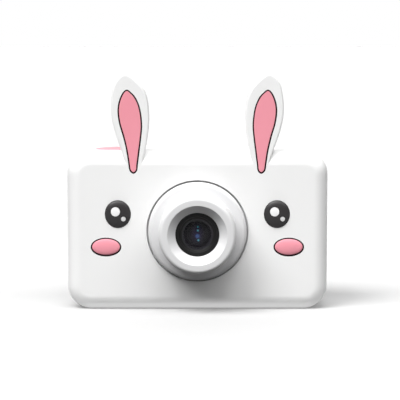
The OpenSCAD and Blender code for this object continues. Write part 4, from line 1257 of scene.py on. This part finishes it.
@dataclass
class LensUnit:
    """The stepped barrel, its black bezel, the cover glass and the lens behind it."""

    out: float = 15.0
    barrel: float = 14.6
    flange: float = 18.8
    flange_out: float = 2.6
    edge: float = 1.5
    opening: float = 11.25
    bore: float = 12.4
    back: float = 2.3
    bezel: float = 8.3
    view: float = 5.9
    cone: float = -11.8
    plate: float = -9.8
    glass: float = 6.8
    glass_thick: float = 1.0
    glass_clear: float = 5.2
    seat: float = 1.2
    lip: Pair = (0.75, 0.95)
    lens_rise: float = 0.9
    lens_steps: int = 16

    def build(self) -> None:
        """Build and dress the pieces of the lens."""
        centre = at(0, 0, LENS_Z)
        barrel = Bench.turned("lens_barrel_shell", eased(self.barrel_profile(), 8), centre, steps=160)
        complete(barrel, BARREL_WHITE, "white_plastic", "lens_barrel")
        bezel = Bench.turned("lens_bezel_ring", self.bezel_profile(), centre, steps=128)
        complete(bezel, BLACK_PLASTIC, "black_plastic", "lens_bezel", 28)
        front = self.plate - self.glass_thick
        glass = Bench.turned("cover_glass_disc", eased([
            (0, self.plate), (self.glass, self.plate), (self.glass, front, 0.15), (0, front)]), centre)
        complete(glass, CoverGlass("cover_glass", self.glass_clear), "cover_glass", "cover_glass")
        lens = Bench.turned("front_lens", self.lens_profile(), centre)
        complete(lens, CoatedLens("coated_lens"), "lens_glass", "front_element")

    def lens_profile(self) -> list[Pair]:
        """The front element's profile, domed towards the glass."""
        low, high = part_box("front_element")
        radius, front, rear = high.x / MM, low.y / MM - FACE_Y, high.y / MM - FACE_Y
        shares = [k / self.lens_steps for k in range(self.lens_steps + 1)]
        return [*((radius * k, front + self.lens_rise * k ** 2) for k in shares), (radius, rear), (0, rear)]

    def barrel_profile(self) -> list[tuple[float, ...]]:
        """The barrel's profile of radius, depth and rounding, from the cone's foot round to it again."""
        return [(self.bezel, self.cone), (self.opening, -self.out, 0.3), (self.barrel, -self.out, self.edge),
                (self.barrel, -self.flange_out, 0.35), (self.flange, -self.flange_out, self.edge),
                (self.flange, self.back), (self.bore, self.back), (self.bore, self.plate),
                (self.bezel, self.plate), (self.bezel, self.cone)]

    def bezel_profile(self) -> list[Pair]:
        """The bezel's profile, with a lip, a dished front and the seat of the glass."""
        front, inner, foot = self.cone + 0.2, self.plate - self.glass_thick, self.plate + self.seat
        dish, crest = (self.view + width for width in self.lip)
        return eased([(self.view, inner), (self.view, front + 0.75, 0.12), (dish, front + 0.45),
                      (crest, front, 0.15), (self.bezel, front, 0.2), (self.bezel, self.plate),
                      (self.bore, self.plate), (self.bore, foot), (self.glass, foot), (self.glass, inner),
                      (self.view, inner)])


# ---------- Buttons and keys ----------


@dataclass
class TopButton:
    """A round button in the top, with a rounded cap, a flange and a stem."""

    node: str
    body: str
    radius: float
    top: float = 61.2
    bulge: float = 0.2
    cap_steps: int = 10
    edge: float = 0.7
    flange: float = 1.0
    flange_z: Pair = (55.2, 56.6)
    stem: float = 1.2
    ring: float = 0.0
    ring_width: float = 0.35

    def build(self) -> Piece:
        """Build and dress the button."""
        low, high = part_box(self.node)
        centre = Vector(((low.x + high.x) / 2, (low.y + high.y) / 2, 0))
        foot, (z0, z1), wide = low.z / MM, self.flange_z, self.radius + self.flange
        count = self.cap_steps
        cap = [(self.radius * k / count, self.top + self.bulge * (1 - (k / count) ** 2))
               for k in range(count - 1)]
        profile = eased([(0, foot), (self.stem, foot, 0.2), (self.stem, z0), (wide, z0), (wide, z1),
                         (self.radius, z1), (self.radius, self.top - 0.05, self.edge), *reversed(cap)], 6)
        piece = Bench.turned(self.node + "_cap", profile, centre, upright=True)
        paint(piece, Shelf.of(PINK_PLASTIC), Shelf.of(EYE_WHITE))
        if self.ring:
            self.engrave(piece, centre)
        Bench.polish(piece)
        return mount(piece, self.body, "pink_plastic", self.node)

    def engrave(self, piece: Piece, centre: Vector) -> None:
        """Cut a fine ring into the cap."""
        radii, ends = (self.ring, self.ring + self.ring_width), (self.top + 0.05, self.top + OVER)
        ring = Bench.ring("ring", radii, ends, centre, upright=True, steps=64)
        Bench.combine(piece, paint(ring, Shelf.of(EYE_WHITE)))


class Mark(Enum):
    """Generic marks of the rear keys."""

    ARROW = "arrow"
    RING = "ring"
    BARS = "bars"
    PLAY = "play"


@dataclass
class RearKeys:
    """The ring of four direction keys, the key in its middle and two keys above."""

    x: float = -25.5
    z: float = 33.0
    top: float = 30.6
    flange_depths: Pair = (26.5, 27.5)
    foot: float = 23.9
    ring: Pair = (5.3, 10.5)
    half_angle: float = 38.0
    flange: float = 0.8
    ok: float = 4.0
    pill: Pair = (9.0, 5.0)
    pill_z: float = 49.0
    pill_pitch: float = 11.0
    edge: float = 0.55
    corner: float = 0.8
    stem: float = 0.8
    mark_depth: float = 0.16
    cap_sink: float = 0.5
    stem_sink: float = 0.3
    flange_angle: float = 3.0
    arrow: tuple[Pair, ...] = ((1.0, 0.0), (-0.7, 1.15), (-0.7, -1.15))
    mark_ring: Pair = (1.3, 1.7)
    bar: Pair = (1.5, 0.2)
    bar_pitch: float = 0.9

    def build(self) -> None:
        """Build and dress the seven keys."""
        mid = sum(self.ring) / 2
        for word, angle in (("up", 90), ("down", 270), ("left", 180), ("right", 0)):
            a = math.radians(angle)
            place = (self.x + mid * math.cos(a), self.z + mid * math.sin(a))
            self.key(word, self.sector(angle, *self.ring, self.half_angle),
                     self.sector(angle, self.ring[0], self.ring[1] + self.flange,
                                 self.half_angle + self.flange_angle), place, Mark.ARROW, angle)
        circle = arc(self.x, self.z, self.ok, 0, 360, 64)[:-1]
        wide = arc(self.x, self.z, self.ok + self.flange, 0, 360, 64)[:-1]
        self.key("ok", circle, wide, (self.x, self.z), Mark.RING, 0)
        for word, side, mark in (("menu", -1, Mark.BARS), ("play", 1, Mark.PLAY)):
            x = self.x + side * self.pill_pitch / 2
            w, h = (size / 2 for size in self.pill)
            grow = self.flange
            self.key(word, self.pill_outline(x, w, h), self.pill_outline(x, w + grow, h + grow),
                     (x, self.pill_z), mark, 180)

    def pill_outline(self, x: float, half_width: float, half_height: float) -> list[Pair]:
        """Outline of a key with two half-round ends."""
        reach = half_width - half_height
        return (arc(x + reach, self.pill_z, half_height, -90, 90, 24)
                + arc(x - reach, self.pill_z, half_height, 90, 270, 24))

    def sector(self, angle: float, inner: float, outer: float, half: float) -> list[Pair]:
        """Outline of a direction key with soft corners.

        Args:
            angle: The way it points, in degrees.
            inner: Its inner radius.
            outer: Its outer radius.
            half: Half of its angle.

        Returns:
            The outline's points.
        """
        made: list[Pair] = []
        for radius, start, end in ((outer, angle - half, angle + half), (inner, angle + half, angle - half)):
            cut = math.degrees(self.corner / radius) * (1 if end > start else -1)
            made += self.soft_corner(radius, start, cut, inner, outer)
            made += arc(self.x, self.z, radius, start + cut, end - cut, 20)[1:-1]
            made += reversed(self.soft_corner(radius, end, -cut, inner, outer))
        return made

    def soft_corner(self, radius: float, angle: float, cut: float, inner: float, outer: float) -> list[Pair]:
        """A soft corner between a key's straight side and its arc."""
        way = self.corner if radius == inner else -self.corner
        side, tip, along = (arc(self.x, self.z, r, a, a, 1)[0] for r, a in (
            (radius + way, angle), (radius, angle), (radius, angle + cut)))
        steps = 5
        return [tuple((1 - t) ** 2 * side[k] + 2 * t * (1 - t) * tip[k] + t * t * along[k] for k in (0, 1))
                for t in (i / steps for i in range(steps + 1))]

    def key(self, word: str, outline: list[Pair], wide: list[Pair], place: Pair, mark: Mark,
            angle: float) -> None:
        """Build one key from its cap, flange and stem.

        Args:
            word: The key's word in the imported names.
            outline: Outline of its cap.
            wide: Outline of its flange.
            place: Where its stem and mark sit.
            mark: Its mark.
            angle: The way the mark points.
        """
        piece = Bench.slab(f"key_{word}_cap", outline, self.flange_depths[1] - self.cap_sink, self.top)
        Bench.round_rims(piece, 1, at(0, self.top, 0).y, self.edge, 5)
        paint(piece, Shelf.of(PINK_PLASTIC), Shelf.of(EYE_WHITE))
        flange = Bench.slab("flange", wide, *self.flange_depths)
        Bench.combine(piece, paint(flange, Shelf.of(PINK_PLASTIC)), Join.ADD)
        stem = Bench.ring("stem", (0, self.stem), (self.foot, self.flange_depths[0] + self.stem_sink),
                          at(place[0], 0, place[1]), steps=32)
        Bench.combine(piece, paint(stem, Shelf.of(PINK_PLASTIC)), Join.ADD)
        for tool in self.mark_tools(mark, place, math.radians(angle)):
            Bench.combine(piece, paint(tool, Shelf.of(EYE_WHITE)))
        Bench.polish(piece)
        mount(piece, f"{word}_key", "pink_plastic", f"key_{word}")

    def mark_tools(self, mark: Mark, place: Pair, angle: float) -> Iterator[Piece]:
        """The shapes that cut a mark into a key's top.

        Args:
            mark: The mark.
            place: Its middle.
            angle: The way it points, in radians.

        Yields:
            Each shape.
        """
        x, z = place
        depths = (self.top - self.mark_depth, self.top + OVER)
        if mark in (Mark.ARROW, Mark.PLAY):
            c, d = math.cos(angle), math.sin(angle)
            turned = [(x + u * c - v * d, z + u * d + v * c) for u, v in self.arrow]
            yield Bench.slab("arrow", turned, *depths)
        elif mark is Mark.RING:
            yield Bench.ring("ring", self.mark_ring, depths, at(x, 0, z))
        else:
            w, h = self.bar
            for mid in (z - self.bar_pitch, z, z + self.bar_pitch):
                corners = [(x - w, mid - h), (x + w, mid - h), (x + w, mid + h), (x - w, mid + h)]
                yield Bench.slab("bar", corners, *depths)


# ---------- Housing, ports and what is inside ----------


@dataclass
class Housing:
    """The hard rear housing, its window, the port door and the memory card."""

    window_round: float = 2.4
    window_edge: float = 0.25
    view: Pair = (44.0, 32.0)
    rim: float = 0.25

    def build(self) -> None:
        """Build and dress the housing's pieces."""
        for node, body, slot, finish, size in (
                ("rear_housing", "camera", "white_plastic", WHITE_PLASTIC, 0),
                ("port_door", "door", "white_plastic", WHITE_PLASTIC, 0.2),
                ("memory_card", "card", "chip_black", CARD, 0.12)):
            piece = Bench.softened(node, size)
            if node == "rear_housing":
                Bench.round_rims(piece, 1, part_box(node)[1].y, self.rim)
                Bench.polish(piece)
            mount(paint(piece, Shelf.of(finish)), body, slot, node)
        self.window()

    def window(self) -> None:
        """The clear window over the screen."""
        low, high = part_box("display_window")
        x0, x1, z0, z1 = (v / MM for v in (low.x, high.x, low.z, high.z))
        piece = Bench.slab("screen_window", round_rect(x0, x1, z0, z1, self.window_round, 12),
                           low.y / MM - FACE_Y, high.y / MM - FACE_Y)
        Bench.round_rims(piece, 1, high.y, self.window_edge)
        finish = ScreenWindow("screen_window", (low + high) / 2, self.view)
        complete(piece, finish, "screen_black", "display_window")


@dataclass
class Insides:
    """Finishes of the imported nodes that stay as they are."""

    plan: dict[Any, tuple[str, ...]] = field(default_factory=lambda: {
        WHITE_PLASTIC: ("front_housing",),
        BLACK_PLASTIC: ("lens_cell", "lens_holder"),
        CoatedLens("inner_lens", ()): ("middle_element", "rear_element"),
        FILTER: ("ir_filter",),
        SENSOR: ("image_sensor",),
        BOARD: ("sensor_board", "main_board", "button_board"),
        CHIP: ("board_chips",),
        STEEL: ("case_screws", "barrel_screws", "sensor_screws", "board_screws", "button_board_screws",
                "door_pin", "lanyard_bar"),
        TIN: ("microphone", "key_switches", "shutter_switch", "power_switch", "usb_port", "card_socket"),
        FILM: ("sensor_ribbon", "display_ribbon", "button_ribbon"),
        FOIL: ("battery",),
        FOAM: ("battery_foam", "display_gasket"),
        CONE: ("speaker",),
        DISPLAY: ("display_module",),
    })

    def build(self) -> None:
        """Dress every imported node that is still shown."""
        for finish, nodes in self.plan.items():
            for node in nodes:
                self.dress(node, Shelf.of(finish))
        for node, axis in (("battery_lead", 0), ("speaker_lead", 2)):
            low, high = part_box(node)
            split = (low[axis] + high[axis]) / 2 / MM
            self.dress(node, Shelf.of(WireSleeve(node + "_sleeve", axis, split)))

    @staticmethod
    def dress(node: str, material: bpy.types.Material) -> None:
        """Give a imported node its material."""
        mesh = frame["nodes"][node].data
        if mesh.materials:
            for i in range(len(mesh.materials)):
                mesh.materials[i] = material
        else:
            mesh.materials.append(material)
        log.info("%s keeps its packed shape in %s", node, material.name)


def main() -> None:
    """Build the studio and every piece."""
    logging.basicConfig(level=logging.INFO, format="%(name)s: %(message)s")
    Studio().build()
    face = Face()
    Studio.keep_fill_to(Jacket(face).build())
    face.build()
    LensUnit().build()
    TopButton("shutter_button", "shutter", 8.3).build()
    TopButton("power_button", "power", 4.0, ring=1.5).build()
    RearKeys().build()
    Housing().build()
    Insides().build()


if __name__ == "__main__":
    main()
